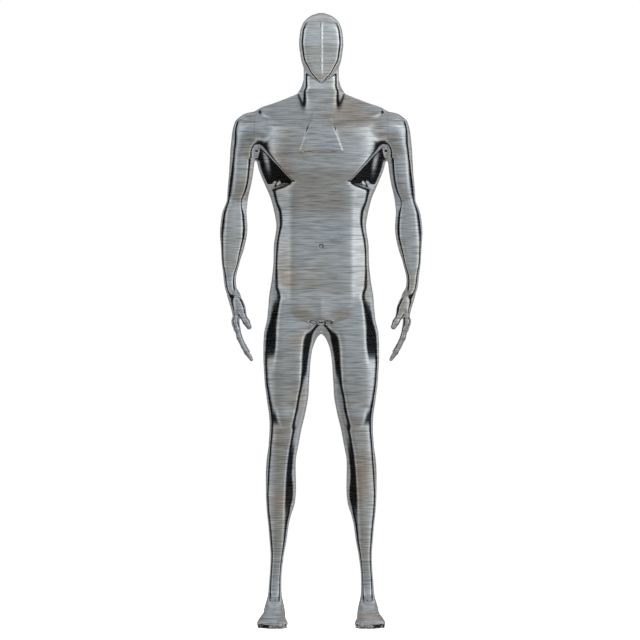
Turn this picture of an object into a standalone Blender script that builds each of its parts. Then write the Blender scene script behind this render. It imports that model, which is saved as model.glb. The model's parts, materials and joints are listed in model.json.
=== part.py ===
"""Full body mannequin: hollow metal-finished shells on fittings that lock by a turn.

Metres, +Z up. The figure faces -Y, so its own left side is at +X. The ground is z = 0 under
the soles, and the origin is the middle of the footprint.

Each limb is a loft through stations. A station is a level, the middle of the section there,
and how far the section reaches outward, inward, forward and backward, all in millimetres.
The last value is the superellipse power: 2 is an ellipse, more is squarer.
"""

import math

import bmesh
import bpy
import numpy as np
from mathutils import Matrix, Vector

MM = 0.001
GAP = 0.0003            # air between pieces that touch
WELD = 4e-6             # points nearer than this are one point
FAR = 2.0               # past everything, for the cutters of whole sides
SEAM = 0.0002           # each shell stops this far short of its cutting plane
WALL = 0.003            # laminate thickness of the shells
PLUMB_Y = 0.033         # carries the whole figure back, over the middle of its footprint

WAIST_Z = 1.100
NECK_Z = 1.645
WRIST_Z = 1.045
WRIST_X, WRIST_Y = 0.2795, -0.020
SHOULDER_X, SHOULDER_Y, SHOULDER_Z = 0.2045, 0.012, 1.523
NECK_Y = 0.012
HIP_X, HIP_Y = 0.088, 0.008
HIP_TILT = math.radians(38.0)
HIP_LOW_Z = 0.900       # the hip plane leaves the crotch at this level and rises outward
ANKLE_FLOOR_Z = 0.125   # the leg's hollow ends here, the foot is solid

# Points round a section: the outside of a shell, and its inside.
TRUNK_COUNT, LEG_COUNT, ARM_COUNT, HEAD_COUNT = (22, 14), (14, 8), (12, 8), (18, 12)

TRUNK = [
    # level, middle x, middle y, outward, inward, forward, backward, power
    (905, 0, 8, 18, 18, 45, 55, 2.0), (914, 0, 8, 60, 60, 66, 78, 2.0),
    (926, 0, 9, 98, 98, 78, 98, 2.0), (940, 0, 10, 125, 125, 86, 108, 2.1),
    (970, 0, 10, 150, 150, 93, 115, 2.2), (1015, 0, 12, 159, 159, 96, 104, 2.3),
    (1064, 0, 15, 152, 152, 100, 84, 2.4), (1113, 0, 18, 147, 147, 103, 70, 2.4),
    (1162, 0, 20, 146, 146, 104, 62, 2.4), (1225, 0, 22, 138, 138, 106, 61, 2.4),
    (1260, 0, 24, 143, 143, 109, 63, 2.4), (1309, 0, 26, 155, 155, 119, 69, 2.3),
    (1358, 0, 28, 171, 171, 130, 74, 2.3), (1407, 0, 28, 191, 191, 138, 80, 2.3),
    (1440, 0, 26, 197, 197, 138, 84, 2.3), (1480, 0, 22, 203, 203, 133, 89, 2.3),
    (1520, 0, 18, 204, 204, 120, 92, 2.2), (1555, 0, 14, 203, 203, 102, 90, 2.1),
    (1578, 0, 12, 198, 198, 84, 84, 2.0), (1590, 0, 12, 184, 184, 74, 78, 2.0),
    (1600, 0, 12, 157, 157, 66, 73, 2.0),
    (1612, 0, 10, 125, 125, 67, 71, 2.0), (1624, 0, 10, 96, 96, 62, 68, 2.0),
    (1637, 0, 10, 67, 67, 58, 66, 2.0), (1660, 0, 10, 55, 55, 53, 64, 2.0),
    (1700, 0, 10, 55, 55, 50, 64, 2.0), (1725, 0, 8, 45, 45, 40, 50, 2.0),
]
HEAD = [
    (1660, 0, -83, 4, 4, 4, 6, 2.0), (1665, 0, -80, 9, 9, 10, 15, 2.0),
    (1673, 0, -70, 21, 21, 21, 30, 2.0), (1687, 0, -55, 33, 33, 39, 45, 2.0),
    (1710, 0, -30, 48, 48, 66, 60, 2.1), (1728, 0, -18, 59, 59, 80, 70, 2.1),
    (1750, 0, -12, 64, 64, 88, 85, 2.1), (1784, 0, -10, 68, 68, 94, 95, 2.1),
    (1820, 0, -10, 65, 65, 89, 94, 2.1), (1845, 0, -10, 57, 57, 79, 85, 2.1),
    (1859, 0, -10, 47, 47, 66, 72, 2.0), (1870, 0, -10, 35, 35, 48, 54, 2.0),
    (1877, 0, -10, 19, 19, 27, 31, 2.0), (1880, 0, -10, 6, 6, 8, 9, 2.0),
]
LEG = [
    (1060, 85, 0, 30, 30, 30, 40, 2.0), (1030, 88, 0, 65, 65, 55, 75, 2.0),
    (991, 91, 0, 71, 71, 75, 95, 2.1), (942, 94, 0, 74, 74, 83, 103, 2.2),
    (893, 97, 0, 80, 79, 86, 95, 2.3), (844, 103, -1, 75, 75, 86, 85, 2.3),
    (795, 106, -2, 72, 72, 84, 80, 2.3), (746, 106, -2, 69, 69, 80, 76, 2.3),
    (697, 104, -2, 64, 64, 75, 71, 2.3), (648, 105, -1, 56, 56, 69, 64, 2.2),
    (599, 110, 0, 49, 49, 63, 56, 2.2), (550, 116, 0, 46, 46, 60, 50, 2.2),
    (501, 122, 2, 43, 43, 50, 58, 2.2), (452, 126, 5, 43, 43, 44, 68, 2.2),
    (403, 127, 8, 44, 44, 40, 72, 2.1), (354, 129, 9, 40, 40, 37, 66, 2.1),
    (305, 132, 10, 32, 32, 34, 55, 2.1), (256, 133, 13, 26, 26, 31, 46, 2.1),
    (207, 136, 16, 20, 20, 29, 39, 2.1), (158, 140, 18, 18, 18, 28, 36, 2.1),
    (109, 143, 20, 20, 20, 32, 42, 2.1), (70, 144, 20, 24, 24, 45, 50, 2.1),
    (35, 145, 18, 28, 28, 52, 52, 2.1), (12, 145, 18, 26, 26, 48, 48, 2.1),
]
ARM = [
    (1577, 206, 12, 10, 20, 10, 10, 2.0), (1572, 209, 12, 26, 40, 30, 32, 2.0),
    (1562, 212, 12, 39, 50, 45, 47, 2.0), (1546, 214, 12, 52, 50, 55, 56, 2.0),
    (1520, 216, 12, 57, 50, 61, 60, 2.1), (1480, 222, 13, 51, 30, 61, 58, 2.1),
    (1456, 230, 14, 43, 24, 56, 55, 2.1), (1430, 239, 15, 37, 32, 51, 51, 2.1),
    (1382, 248, 16, 35, 35, 46, 46, 2.1), (1333, 256, 17, 34, 34, 43, 42, 2.1),
    (1300, 259, 18, 32, 32, 40, 40, 2.1), (1260, 268, 14, 37, 37, 41, 38, 2.1),
    (1211, 271, 8, 41, 41, 41, 36, 2.1), (1162, 275, -2, 34, 35, 36, 33, 2.1),
    (1113, 278, -10, 28, 28, 31, 29, 2.1), (1064, 281, -18, 19, 19, 27, 26, 2.1),
    (1040, 279, -21, 18, 18, 28, 27, 2.1), (1015, 272, -25, 18, 18, 31, 30, 2.2),
    (991, 268, -30, 15, 14, 36, 34, 2.2), (966, 263, -35, 12, 12, 40, 37, 2.3),
    (942, 261, -38, 10, 11, 41, 38, 2.3), (920, 262, -38, 9, 10, 40, 37, 2.3),
    (905, 260, -38, 7, 7, 36, 33, 2.3),
]
FOOT = [
    # y, middle x, half width, height of the top above the section's own middle
    (78, 143, 10, 24), (70, 143, 22, 38), (50, 143, 29, 56), (20, 144, 31, 66),
    (-20, 145, 32, 60), (-60, 147, 38, 44), (-100, 149, 46, 29), (-130, 149, 48, 19),
    (-155, 146, 44, 14), (-175, 138, 33, 12), (-187, 131, 20, 9), (-191, 129, 10, 5),
]
FOOT_MIDDLE_Z = 0.011   # level of the widest part of the foot
FOOT_UNDER = 0.016      # depth of the section under that level, cut flat at the ground
FOOT_COUNT = 14
FOOT_POWER = 2.2

FINGERS = {
    # name: (y of the finger, share of the full length, radius at the knuckle, at the tip)
    "index": (-68, 0.93, 9.5, 6.5), "middle": (-47, 1.00, 9.5, 6.5),
    "ring": (-26, 0.95, 9.2, 6.3), "little": (-7, 0.80, 8.2, 5.6),
}
FINGER_PATH = [(262, 930), (252, 885), (238, 852), (216, 818)]       # x, z of the middle finger
THUMB_PATH = [(262, -56, 985), (250, -66, 968), (240, -76, 950), (228, -83, 930), (221, -86, 914)]
THUMB_RADII = (11.0, 8.5)
FINGER_SIDES = 8
TIP_REACH, TIP_SHARE = 0.6, 0.55        # a fingertip's last ring: how far on, and how wide

SOCKET_OUTER_R, SOCKET_INNER_R, SOCKET_LENGTH = 0.0085, 0.0063, 0.085
SOCKET_X, SOCKET_Y = -0.1440, 0.018

FINISHES = {
    # name: base colour, metallic, roughness
    "brushed_shell": ((0.62, 0.64, 0.65, 1.0), 1.0, 0.28),
    "zinc_steel": ((0.56, 0.57, 0.58, 1.0), 1.0, 0.35),
    "bulkhead_board": ((0.30, 0.22, 0.14, 1.0), 0.0, 0.70),
    "friction_rubber": ((0.03, 0.03, 0.03, 1.0), 0.0, 0.80),
    "black_screw": ((0.06, 0.06, 0.07, 1.0), 1.0, 0.45),
}

# Depths along a fitting's axis, from the cutting plane. Minus is the keyhole's side.
BULKHEAD_NEAR, BULKHEAD_FAR = 0.001, 0.007
PLATE = 0.003           # thickness of the keyhole disc and of the stud's flange
RING_HALF = 0.0007
PIN_CLEAR, STUD_TAIL = 0.0012, 0.004     # pin to disc, and stud beyond the pin
SCREW_HEAD_R, SCREW_SHANK_R, SCREW_HEAD, SCREW_TIP = 0.0035, 0.0014, 0.0022, 0.004
SCREW_EDGE = 0.0035     # from a screw's head to the disc's rim

# Room round the moving pieces, and other small sizes of a fitting.
SLOT_SIDE, SLOT_END = 0.0005, 0.001     # slot to pin, beside it and past its ends
OPENING_ROOM = 0.002    # the board's opening to the ends of the pin
RING_ROOM, RING_WIDE = 0.003, 0.008     # washer to the ends of the pin, and its width
FLANGE_SHARE = 0.7      # the stud's flange against the keyhole disc
CHAMFER = 0.001         # on the stud's end
THROUGH = 0.03          # half length of a cutter that goes right through
BULKHEAD_FIT = WALL + 0.0004            # how far a bulkhead lies under the outer skin


def clear_file():
    """Remove whatever objects the file starts with."""
    for old in list(bpy.data.objects):
        bpy.data.objects.remove(old)


def finish(name):
    """Return the named finish as a material, made once."""
    made = bpy.data.materials.get(name)
    if made:
        return made
    made = bpy.data.materials.new(name)
    made.use_nodes = True
    colour, metallic, roughness = FINISHES[name]
    shader = made.node_tree.nodes["Principled BSDF"]
    shader.inputs["Base Color"].default_value = colour
    shader.inputs["Metallic"].default_value = metallic
    shader.inputs["Roughness"].default_value = roughness
    made.diffuse_color = colour
    return made


def link(name, mesh):
    """Put a mesh into the scene as a named object."""
    made = bpy.data.objects.new(name, mesh)
    bpy.context.scene.collection.objects.link(made)
    return made


def named(piece, name, finish_name):
    """Give a finished piece its node name and its finish, shaded smooth on its round sides."""
    piece.name = name
    piece.data.name = name
    piece.data.materials.clear()
    piece.data.materials.append(finish(finish_name))
    piece.data.shade_smooth()
    piece.data.set_sharp_from_angle(angle=math.radians(35.0))
    return piece


def from_bmesh(bm, name):
    """Turn a closed bmesh into an object with its faces pointing out."""
    bmesh.ops.recalc_face_normals(bm, faces=bm.faces)
    if bm.calc_volume(signed=True) < 0.0:
        bmesh.ops.reverse_faces(bm, faces=bm.faces)
    mesh = bpy.data.meshes.new(name)
    bm.to_mesh(mesh)
    bm.free()
    return link(name, mesh)


def skin_rings(rings, name):
    """Skin a row of rings, each with the same number of points, and cap both ends."""
    bm = bmesh.new()
    loops = [[bm.verts.new(point) for point in ring] for ring in rings]
    count = len(loops[0])
    for lower, upper in zip(loops, loops[1:]):
        for i in range(count):
            j = (i + 1) % count
            bm.faces.new((lower[i], lower[j], upper[j]))
            bm.faces.new((lower[i], upper[j], upper[i]))
    bm.faces.new(loops[0])
    bm.faces.new(loops[-1])
    return from_bmesh(bm, name)


def superellipse(count, power):
    """Return the cosine-like and sine-like parts of a unit superellipse."""
    turn = np.linspace(0.0, 2.0 * math.pi, count, endpoint=False)
    c, s = np.cos(turn), np.sin(turn)
    return np.sign(c) * abs(c) ** (2.0 / power), np.sign(s) * abs(s) ** (2.0 / power)


def limb(stations, side, count, shrink, name):
    """Loft a limb through its stations, drawn in by shrink; side is 1 for left, -1 for right.

    The inside has fewer points round it than the outside, and its chords only add to the wall.
    """
    outside, inside = count
    count = inside if shrink else outside
    rings = []
    for level, mid_x, mid_y, outward, inward, forward, backward, power in stations:
        across, along = superellipse(count, power)
        reach_x = np.where(across > 0.0, outward, inward) * MM - shrink
        reach_y = np.where(along > 0.0, backward, forward) * MM - shrink
        x = mid_x * MM + across * np.maximum(reach_x, MM)
        y = mid_y * MM + PLUMB_Y + along * np.maximum(reach_y, MM)
        rings.append(np.column_stack([side * x, y, np.full(count, level * MM)]))
    if shrink:
        rings[0][:, 2] += shrink if stations[0][0] < stations[-1][0] else -shrink
        rings[-1][:, 2] -= shrink if stations[0][0] < stations[-1][0] else -shrink
    return skin_rings(rings, name)


def foot(side):
    """Loft one foot from heel to toes; its sections stand across the foot, cut at the ground."""
    rings = []
    for y, mid_x, half, top in FOOT:
        across, up = superellipse(FOOT_COUNT, FOOT_POWER)
        height = np.where(up > 0.0, top * MM, FOOT_UNDER)
        x = side * (mid_x + across * half) * MM
        rings.append(np.column_stack([x, np.full(FOOT_COUNT, y * MM + PLUMB_Y),
                                      FOOT_MIDDLE_Z + up * height]))
    made = skin_rings(rings, "foot")
    return combine(made, "DIFFERENCE", half_space(Vector((0, 0, 0)), Vector((0, 0, -1))))


def tube(points, radii, sides, name):
    """Carry a circle along a path of points; the radius runs evenly from first to last."""
    path = [Vector(p) for p in points]
    rings = []
    for i, here in enumerate(path):
        ahead = path[min(i + 1, len(path) - 1)] - path[max(i - 1, 0)]
        turn = Vector((0, 0, 1)).rotation_difference(ahead.normalized()).to_matrix()
        radius = radii[0] + (radii[1] - radii[0]) * i / (len(path) - 1)
        ring = [here + turn @ Vector((radius * math.cos(a), radius * math.sin(a), 0))
                for a in np.linspace(0.0, 2.0 * math.pi, sides, endpoint=False)]
        rings.append(ring)
    tip = path[-1] + (path[-1] - path[-2]).normalized() * radii[1] * TIP_REACH
    rings.append([tip + (p - path[-1]) * TIP_SHARE for p in rings[-1]])
    return skin_rings(rings, name)


def combine(base, operation, *tools):
    """Apply exact Booleans to base, one after another, and remove the tools."""
    for tool in tools:
        step = base.modifiers.new(operation.title(), "BOOLEAN")
        step.operation = operation
        step.solver = "EXACT"
        step.object = tool
        depsgraph = bpy.context.evaluated_depsgraph_get()
        depsgraph.update()
        result = bpy.data.meshes.new_from_object(base.evaluated_get(depsgraph))
        base.modifiers.clear()
        base.data = weld(result)
        bpy.data.objects.remove(tool)
    return base


def weld(mesh):
    """Merge the points that a Boolean leaves less than a few thousandths of a millimetre apart."""
    bm = bmesh.new()
    bm.from_mesh(mesh)
    bmesh.ops.remove_doubles(bm, verts=bm.verts, dist=WELD)
    bmesh.ops.dissolve_degenerate(bm, edges=bm.edges, dist=WELD)
    bm.to_mesh(mesh)
    bm.free()
    return mesh


def mirrored(piece, name):
    """Make the right-hand twin of a left-hand piece."""
    twin = link(name, piece.data.copy())
    twin.data.name = name
    twin.data.transform(Matrix.Diagonal((-1.0, 1.0, 1.0, 1.0)))
    twin.data.flip_normals()
    return twin


def block(low, high, place):
    """Make a box between two corners, in the frame that place sets."""
    bm = bmesh.new()
    bmesh.ops.create_cube(bm, size=1.0)
    size = Vector(high) - Vector(low)
    middle = (Vector(high) + Vector(low)) / 2.0
    bm.transform(place @ Matrix.Translation(middle) @ Matrix.Diagonal((*size, 1.0)))
    return from_bmesh(bm, "block")


def axis_frame(centre, axis):
    """Return the frame at centre with its own +Z along axis."""
    depth = Vector(axis).normalized()
    across = Vector((0, 1, 0)).cross(depth).normalized()
    turn = Matrix((across, depth.cross(across), depth)).transposed()
    return Matrix.Translation(Vector(centre)) @ turn.to_4x4()


def half_space(point, normal):
    """Return a block that fills the side of a plane that normal points to."""
    return block((-FAR, -FAR, 0.0), (FAR, FAR, 2.0 * FAR), axis_frame(point, normal))


def turned(profile, place, sides):
    """Turn a closed profile of (radius, depth) points about the frame's own Z."""
    bm = bmesh.new()
    loops = []
    for radius, depth in profile:
        if radius == 0.0:
            loops.append([bm.verts.new((0.0, 0.0, depth))] * sides)
            continue
        loops.append([bm.verts.new((radius * math.cos(a), radius * math.sin(a), depth))
                      for a in np.linspace(0.0, 2.0 * math.pi, sides, endpoint=False)])
    for lower, upper in zip(loops, loops[1:] + loops[:1]):
        for i in range(sides):
            j = (i + 1) % sides
            corners = list(dict.fromkeys((lower[i], lower[j], upper[j], upper[i])))
            if len(corners) > 2:
                bm.faces.new(corners)
    bm.transform(place)
    return from_bmesh(bm, "turned")


def rod(radius, start, end, place, sides=16):
    """Make a plain cylinder between two depths of a frame."""
    return turned([(0.0, start), (radius, start), (radius, end), (0.0, end)], place, sides)


def hip_plane(offset):
    """Return a point and the upward normal of the hip plane, moved along the normal."""
    normal = Vector((-math.sin(HIP_TILT), 0.0, math.cos(HIP_TILT)))
    return Vector((0.0, 0.0, HIP_LOW_Z)) + normal * offset, normal


def left_leg_room(offset):
    """Return the wedge that the left leg fills: under the hip plane and left of the middle."""
    point, normal = hip_plane(-offset)
    wedge = half_space(point, -normal)
    return combine(wedge, "DIFFERENCE", half_space(Vector((offset, 0, 0)), Vector((-1, 0, 0))))


def trunk(shrink=0.0):
    """Return the torso with the neck, drawn in by shrink."""
    return limb(TRUNK, 1, TRUNK_COUNT, shrink, "trunk")


def leg(side, shrink=0.0):
    """Return one leg down to the sole, drawn in by shrink."""
    return limb(LEG, side, LEG_COUNT, shrink, "leg")


def leg_hollow(side):
    """Return the inside of a leg, which ends above the solid foot."""
    made = leg(side, WALL)
    return combine(made, "DIFFERENCE", half_space((0, 0, ANKLE_FLOOR_Z), Vector((0, 0, -1))))


def arm(side, shrink=0.0):
    """Return one arm with its palm, drawn in by shrink."""
    return limb(ARM, side, ARM_COUNT, shrink, "arm")


def head(shrink=0.0):
    """Return the egg of the head, drawn in by shrink."""
    return limb(HEAD, 1, HEAD_COUNT, shrink, "head")


def lower_body():
    """Pelvis and right leg in one shell; the left leg and the upper body come off it."""
    outer = combine(trunk(), "UNION", leg(-1), leg(1), foot(-1))
    hollow = combine(trunk(WALL), "UNION", leg_hollow(-1), leg_hollow(1))
    above = half_space((0, 0, WAIST_Z - SEAM), Vector((0, 0, 1)))
    made = combine(outer, "DIFFERENCE", hollow, above, left_leg_room(-SEAM))
    bore = Matrix.Translation((SOCKET_X, SOCKET_Y + PLUMB_Y, 0.0))
    return combine(made, "DIFFERENCE",
                   rod(SOCKET_OUTER_R + GAP, -THROUGH, SOCKET_LENGTH + 2.0 * GAP, bore))


def left_leg():
    """The left leg with its foot, cut off along the hip plane."""
    outer = combine(trunk(), "UNION", leg(1), foot(1))
    hollow = combine(trunk(WALL), "UNION", leg_hollow(1))
    return combine(combine(outer, "DIFFERENCE", hollow), "INTERSECT", left_leg_room(SEAM))


def chest():
    """The upper body from the waist to the foot of the neck, up to both shoulder planes."""
    outer = combine(trunk(), "UNION", arm(1), arm(-1))
    hollow = combine(trunk(WALL), "UNION", arm(1, WALL), arm(-1, WALL))
    edge = SHOULDER_X - SEAM
    room = block((-edge, -FAR, WAIST_Z + SEAM), (edge, FAR, NECK_Z - SEAM), Matrix.Identity(4))
    return combine(combine(outer, "DIFFERENCE", hollow), "INTERSECT", room)


def head_and_neck():
    """The head with the upper part of the neck."""
    outer = combine(trunk(), "UNION", head())
    hollow = combine(trunk(WALL), "UNION", head(WALL))
    room = half_space((0, 0, NECK_Z + SEAM), Vector((0, 0, 1)))
    return combine(combine(outer, "DIFFERENCE", hollow), "INTERSECT", room)


def left_arm_shell():
    """The left arm from the shoulder plane to the wrist plane."""
    outer = combine(trunk(), "UNION", arm(1))
    hollow = combine(trunk(WALL), "UNION", arm(1, WALL))
    room = block((SHOULDER_X + SEAM, -FAR, WRIST_Z + SEAM), (FAR, FAR, FAR), Matrix.Identity(4))
    return combine(combine(outer, "DIFFERENCE", hollow), "INTERSECT", room)


def along_path(points, share):
    """Return the first part of a path, up to a share of its length."""
    steps = [math.dist(a, b) for a, b in zip(points, points[1:])]
    left = share * sum(steps)
    kept = [points[0]]
    for start, end, step in zip(points, points[1:], steps):
        part = min(1.0, left / step)
        kept.append(tuple(a + (b - a) * part for a, b in zip(start, end)))
        left -= step
        if left <= 1e-6:
            break
    return kept


def left_palm_and_fingers():
    """The solid left hand: the palm below the wrist plane, four fingers and a thumb."""
    palm = combine(arm(1), "DIFFERENCE",
                   half_space((0, 0, WRIST_Z - SEAM), Vector((0, 0, 1))))
    for y, share, knuckle, tip in FINGERS.values():
        path = [(x * MM, y * MM + PLUMB_Y, z * MM) for x, z in along_path(FINGER_PATH, share)]
        palm = combine(palm, "UNION",
                       tube(path, (knuckle * MM, tip * MM), FINGER_SIDES, "finger"))
    path = [(x * MM, y * MM + PLUMB_Y, z * MM) for x, y, z in THUMB_PATH]
    radii = [r * MM for r in THUMB_RADII]
    return combine(palm, "UNION", tube(path, radii, FINGER_SIDES, "thumb"))


class Fitting:
    """A turn-to-lock fitting: a keyhole disc on one bulkhead, a stud with a pin on the other.

    The pin lies along the fitting's own X. Turned by the unlock angle, it meets the slots and
    the limb lifts off.
    """

    def __init__(self, name, centre, axis, unlock, disc_r, stud_r, pin_r, pin_half, slab_half):
        """Set the fitting up at its centre; axis points to the stud's side, unlock in degrees."""
        self.name = name
        self.unlock = math.radians(unlock)
        self.centre = Vector(centre) + Vector((0.0, PLUMB_Y, 0.0))
        self.place = axis_frame(self.centre, axis)
        self.disc_r, self.stud_r = disc_r, stud_r
        self.pin_r, self.pin_half = pin_r, pin_half
        self.slab_half = slab_half
        self.pin_depth = BULKHEAD_FAR + GAP + PLATE + PIN_CLEAR + pin_r
        self.stud_end = self.pin_depth + pin_r + STUD_TAIL
        self.screw_ring = disc_r - SCREW_HEAD_R - SCREW_EDGE

    def screw_places(self):
        """Return the frames of the two screws, on either side of the disc between its slots."""
        across = self.unlock / 2.0 + math.pi / 2.0
        for turn in (across, across + math.pi):
            yield self.place @ Matrix.Translation((self.screw_ring * math.cos(turn),
                                                   self.screw_ring * math.sin(turn), 0.0))

    def slab(self, near, far):
        """Return the slab of the fitting between two depths, as wide as the limb needs."""
        half = self.slab_half
        return block((-half, -half, near), (half, half, far), self.place)

    def pin_place(self):
        """Return the pin's frame: it crosses the stud along the fitting's own X."""
        return (self.place @ Matrix.Translation((0.0, 0.0, -self.pin_depth))
                @ Matrix.Rotation(math.pi / 2.0, 4, "Y"))

    def keyhole(self, place, sides):
        """Return the cutters of the round hole for the stud and of the slots for its pin."""
        half, wide = self.pin_half + SLOT_END, self.pin_r + SLOT_SIDE
        return (rod(self.stud_r + SLOT_SIDE, -THROUGH, THROUGH, self.place, sides),
                block((-half, -wide, -THROUGH), (half, wide, THROUGH), place))

    def keyhole_bulkhead(self, inside):
        """Fit a bulkhead to the inside of the shell, open for the stud and its pin."""
        board = combine(inside, "INTERSECT", self.slab(-BULKHEAD_FAR, -BULKHEAD_NEAR))
        opening = self.pin_half + OPENING_ROOM
        board = combine(board, "DIFFERENCE", rod(opening, -THROUGH, THROUGH, self.place))
        for at in self.screw_places():
            board = combine(board, "DIFFERENCE",
                            rod(SCREW_SHANK_R + GAP, -THROUGH, GAP - SCREW_TIP, at, 6))
        return named(board, f"{self.name}_keyhole_bulkhead", "bulkhead_board")

    def stud_bulkhead(self, inside):
        """Fit the bulkhead that carries the stud."""
        board = combine(inside, "INTERSECT", self.slab(BULKHEAD_NEAR, BULKHEAD_FAR))
        board = combine(board, "DIFFERENCE",
                        rod(self.stud_r + GAP, -THROUGH, THROUGH, self.place))
        return named(board, f"{self.name}_stud_bulkhead", "bulkhead_board")

    def keyhole_disc(self):
        """The steel disc with a round hole and two slots that the pin passes through."""
        top = -BULKHEAD_FAR - GAP
        disc = rod(self.disc_r, top - PLATE, top, self.place, 20)
        keyhole = self.keyhole(self.place @ Matrix.Rotation(self.unlock, 4, "Z"), 16)
        disc = combine(disc, "DIFFERENCE", *keyhole)
        for at in self.screw_places():
            disc = combine(disc, "DIFFERENCE",
                           rod(SCREW_SHANK_R + GAP, -THROUGH, THROUGH, at, 6))
        return named(disc, f"{self.name}_keyhole_disc", "zinc_steel")

    def friction_ring(self):
        """The thin washer that the two bulkheads turn on."""
        inner = self.pin_half + RING_ROOM
        outer = inner + RING_WIDE
        profile = [(inner, -RING_HALF), (outer, -RING_HALF), (outer, RING_HALF),
                   (inner, RING_HALF)]
        return named(turned(profile, self.place, 16), f"{self.name}_friction_ring",
                     "friction_rubber")

    def stud(self):
        """The stud with its flange, drilled for the pin."""
        low, high = BULKHEAD_FAR + GAP, BULKHEAD_FAR + GAP + PLATE
        flange = self.disc_r * FLANGE_SHARE
        profile = [(0.0, -self.stud_end), (self.stud_r - CHAMFER, -self.stud_end),
                   (self.stud_r, CHAMFER - self.stud_end), (self.stud_r, low),
                   (flange, low), (flange, high), (0.0, high)]
        made = turned(profile, self.place, 14)
        made = combine(made, "DIFFERENCE",
                       rod(self.pin_r + GAP, -THROUGH, THROUGH, self.pin_place(), 8))
        return named(made, f"{self.name}_stud", "zinc_steel")

    def cross_pin(self):
        """The pin that locks the stud behind the disc."""
        made = rod(self.pin_r, -self.pin_half, self.pin_half, self.pin_place(), 8)
        return named(made, f"{self.name}_cross_pin", "zinc_steel")

    def screws(self):
        """The two screws that hold the disc on its bulkhead."""
        under = -BULKHEAD_FAR - PLATE - 2.0 * GAP
        profile = [(0.0, under - SCREW_HEAD), (SCREW_HEAD_R, under - SCREW_HEAD),
                   (SCREW_HEAD_R, under), (SCREW_SHANK_R, under),
                   (SCREW_SHANK_R, -SCREW_TIP - CHAMFER), (0.0, -SCREW_TIP)]
        for side, at in zip("ab", self.screw_places()):
            named(turned(profile, at, 8), f"{self.name}_disc_screw_{side}", "black_screw")

    def make(self, keyhole_inside, stud_inside):
        """Make every piece of the fitting inside its two shells."""
        self.keyhole_bulkhead(keyhole_inside)
        self.stud_bulkhead(stud_inside)
        self.keyhole_disc()
        self.friction_ring()
        self.stud()
        self.cross_pin()
        self.screws()


class WristFitting(Fitting):
    """The small fitting of a wrist: the keyhole is cut in the end plate of the forearm."""

    PLATE_NEAR, PLATE_FAR, PIN_AT, PEG_TOP, DEEP = 0.001, 0.004, 0.0085, 0.012, 0.020

    def pin_place(self):
        """Return the pin's frame: it crosses the peg above the end plate."""
        return (self.place @ Matrix.Translation((0.0, 0.0, -self.PIN_AT))
                @ Matrix.Rotation(math.pi / 2.0, 4, "X"))

    def end_plate(self, inside):
        """The forearm's end plate, with the round hole and the two slots."""
        plate = combine(inside, "INTERSECT", self.slab(-self.PLATE_FAR, -self.PLATE_NEAR))
        plate = combine(plate, "DIFFERENCE", *self.keyhole(self.place, 12))
        return named(plate, f"{self.name}_keyhole_plate", "zinc_steel")

    def peg(self):
        """The peg that is set in the hand, drilled for the pin."""
        made = rod(self.stud_r, -self.PEG_TOP, self.DEEP, self.place, 12)
        made = combine(made, "DIFFERENCE",
                       rod(self.pin_r + GAP, -THROUGH, THROUGH, self.pin_place(), 8))
        return named(made, f"{self.name}_stud", "zinc_steel")

    def make_in(self, inside):
        """Make the three pieces of the wrist."""
        self.end_plate(inside)
        self.peg()
        self.cross_pin()

    def bore(self):
        """Return the room that the peg needs in the hand."""
        return rod(self.stud_r + 2.0 * GAP, -self.PEG_TOP, self.DEEP + GAP, self.place, 12)


def inside_of(*limbs):
    """Return the room inside the trunk and some limbs, for a bulkhead to fill."""
    room = trunk(BULKHEAD_FIT)
    return combine(room, "UNION", *limbs) if limbs else room


def foot_socket():
    """The steel tube in the right heel that a display stand's spigot goes into."""
    place = Matrix.Translation((SOCKET_X, SOCKET_Y + PLUMB_Y, 0.0))
    profile = [(SOCKET_INNER_R, GAP), (SOCKET_OUTER_R, GAP),
               (SOCKET_OUTER_R, SOCKET_LENGTH), (SOCKET_INNER_R, SOCKET_LENGTH)]
    return named(turned(profile, place, 16), "foot_spigot_socket", "zinc_steel")


def build_shells():
    """Build the outer shells; those of the left arm come with their fittings."""
    named(lower_body(), "lower_body_shell", "brushed_shell")
    named(left_leg(), "left_leg_shell", "brushed_shell")
    named(chest(), "chest_shell", "brushed_shell")
    named(head_and_neck(), "head_shell", "brushed_shell")


def build_waist_and_neck():
    """Build the two fittings that turn about the upright."""
    waist = Fitting("waist", (0.0, 0.0, WAIST_Z), (0, 0, 1), unlock=45, disc_r=0.055,
                    stud_r=0.015, pin_r=0.005, pin_half=0.035, slab_half=0.2)
    waist.make(inside_of(), inside_of())
    neck = Fitting("neck", (0.0, NECK_Y, NECK_Z), (0, 0, 1), unlock=90, disc_r=0.028,
                   stud_r=0.007, pin_r=0.003, pin_half=0.015, slab_half=0.1)
    neck.make(inside_of(), inside_of())


def build_hip():
    """Build the left hip's fitting, square to the hip plane."""
    centre = (HIP_X, HIP_Y, HIP_LOW_Z + HIP_X * math.tan(HIP_TILT))
    hip = Fitting("left_hip", centre, -hip_plane(0.0)[1], unlock=45, disc_r=0.045,
                  stud_r=0.012, pin_r=0.004, pin_half=0.028, slab_half=0.105)
    hip.make(inside_of(leg(1, BULKHEAD_FIT)), inside_of(leg(1, BULKHEAD_FIT)))


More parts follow.
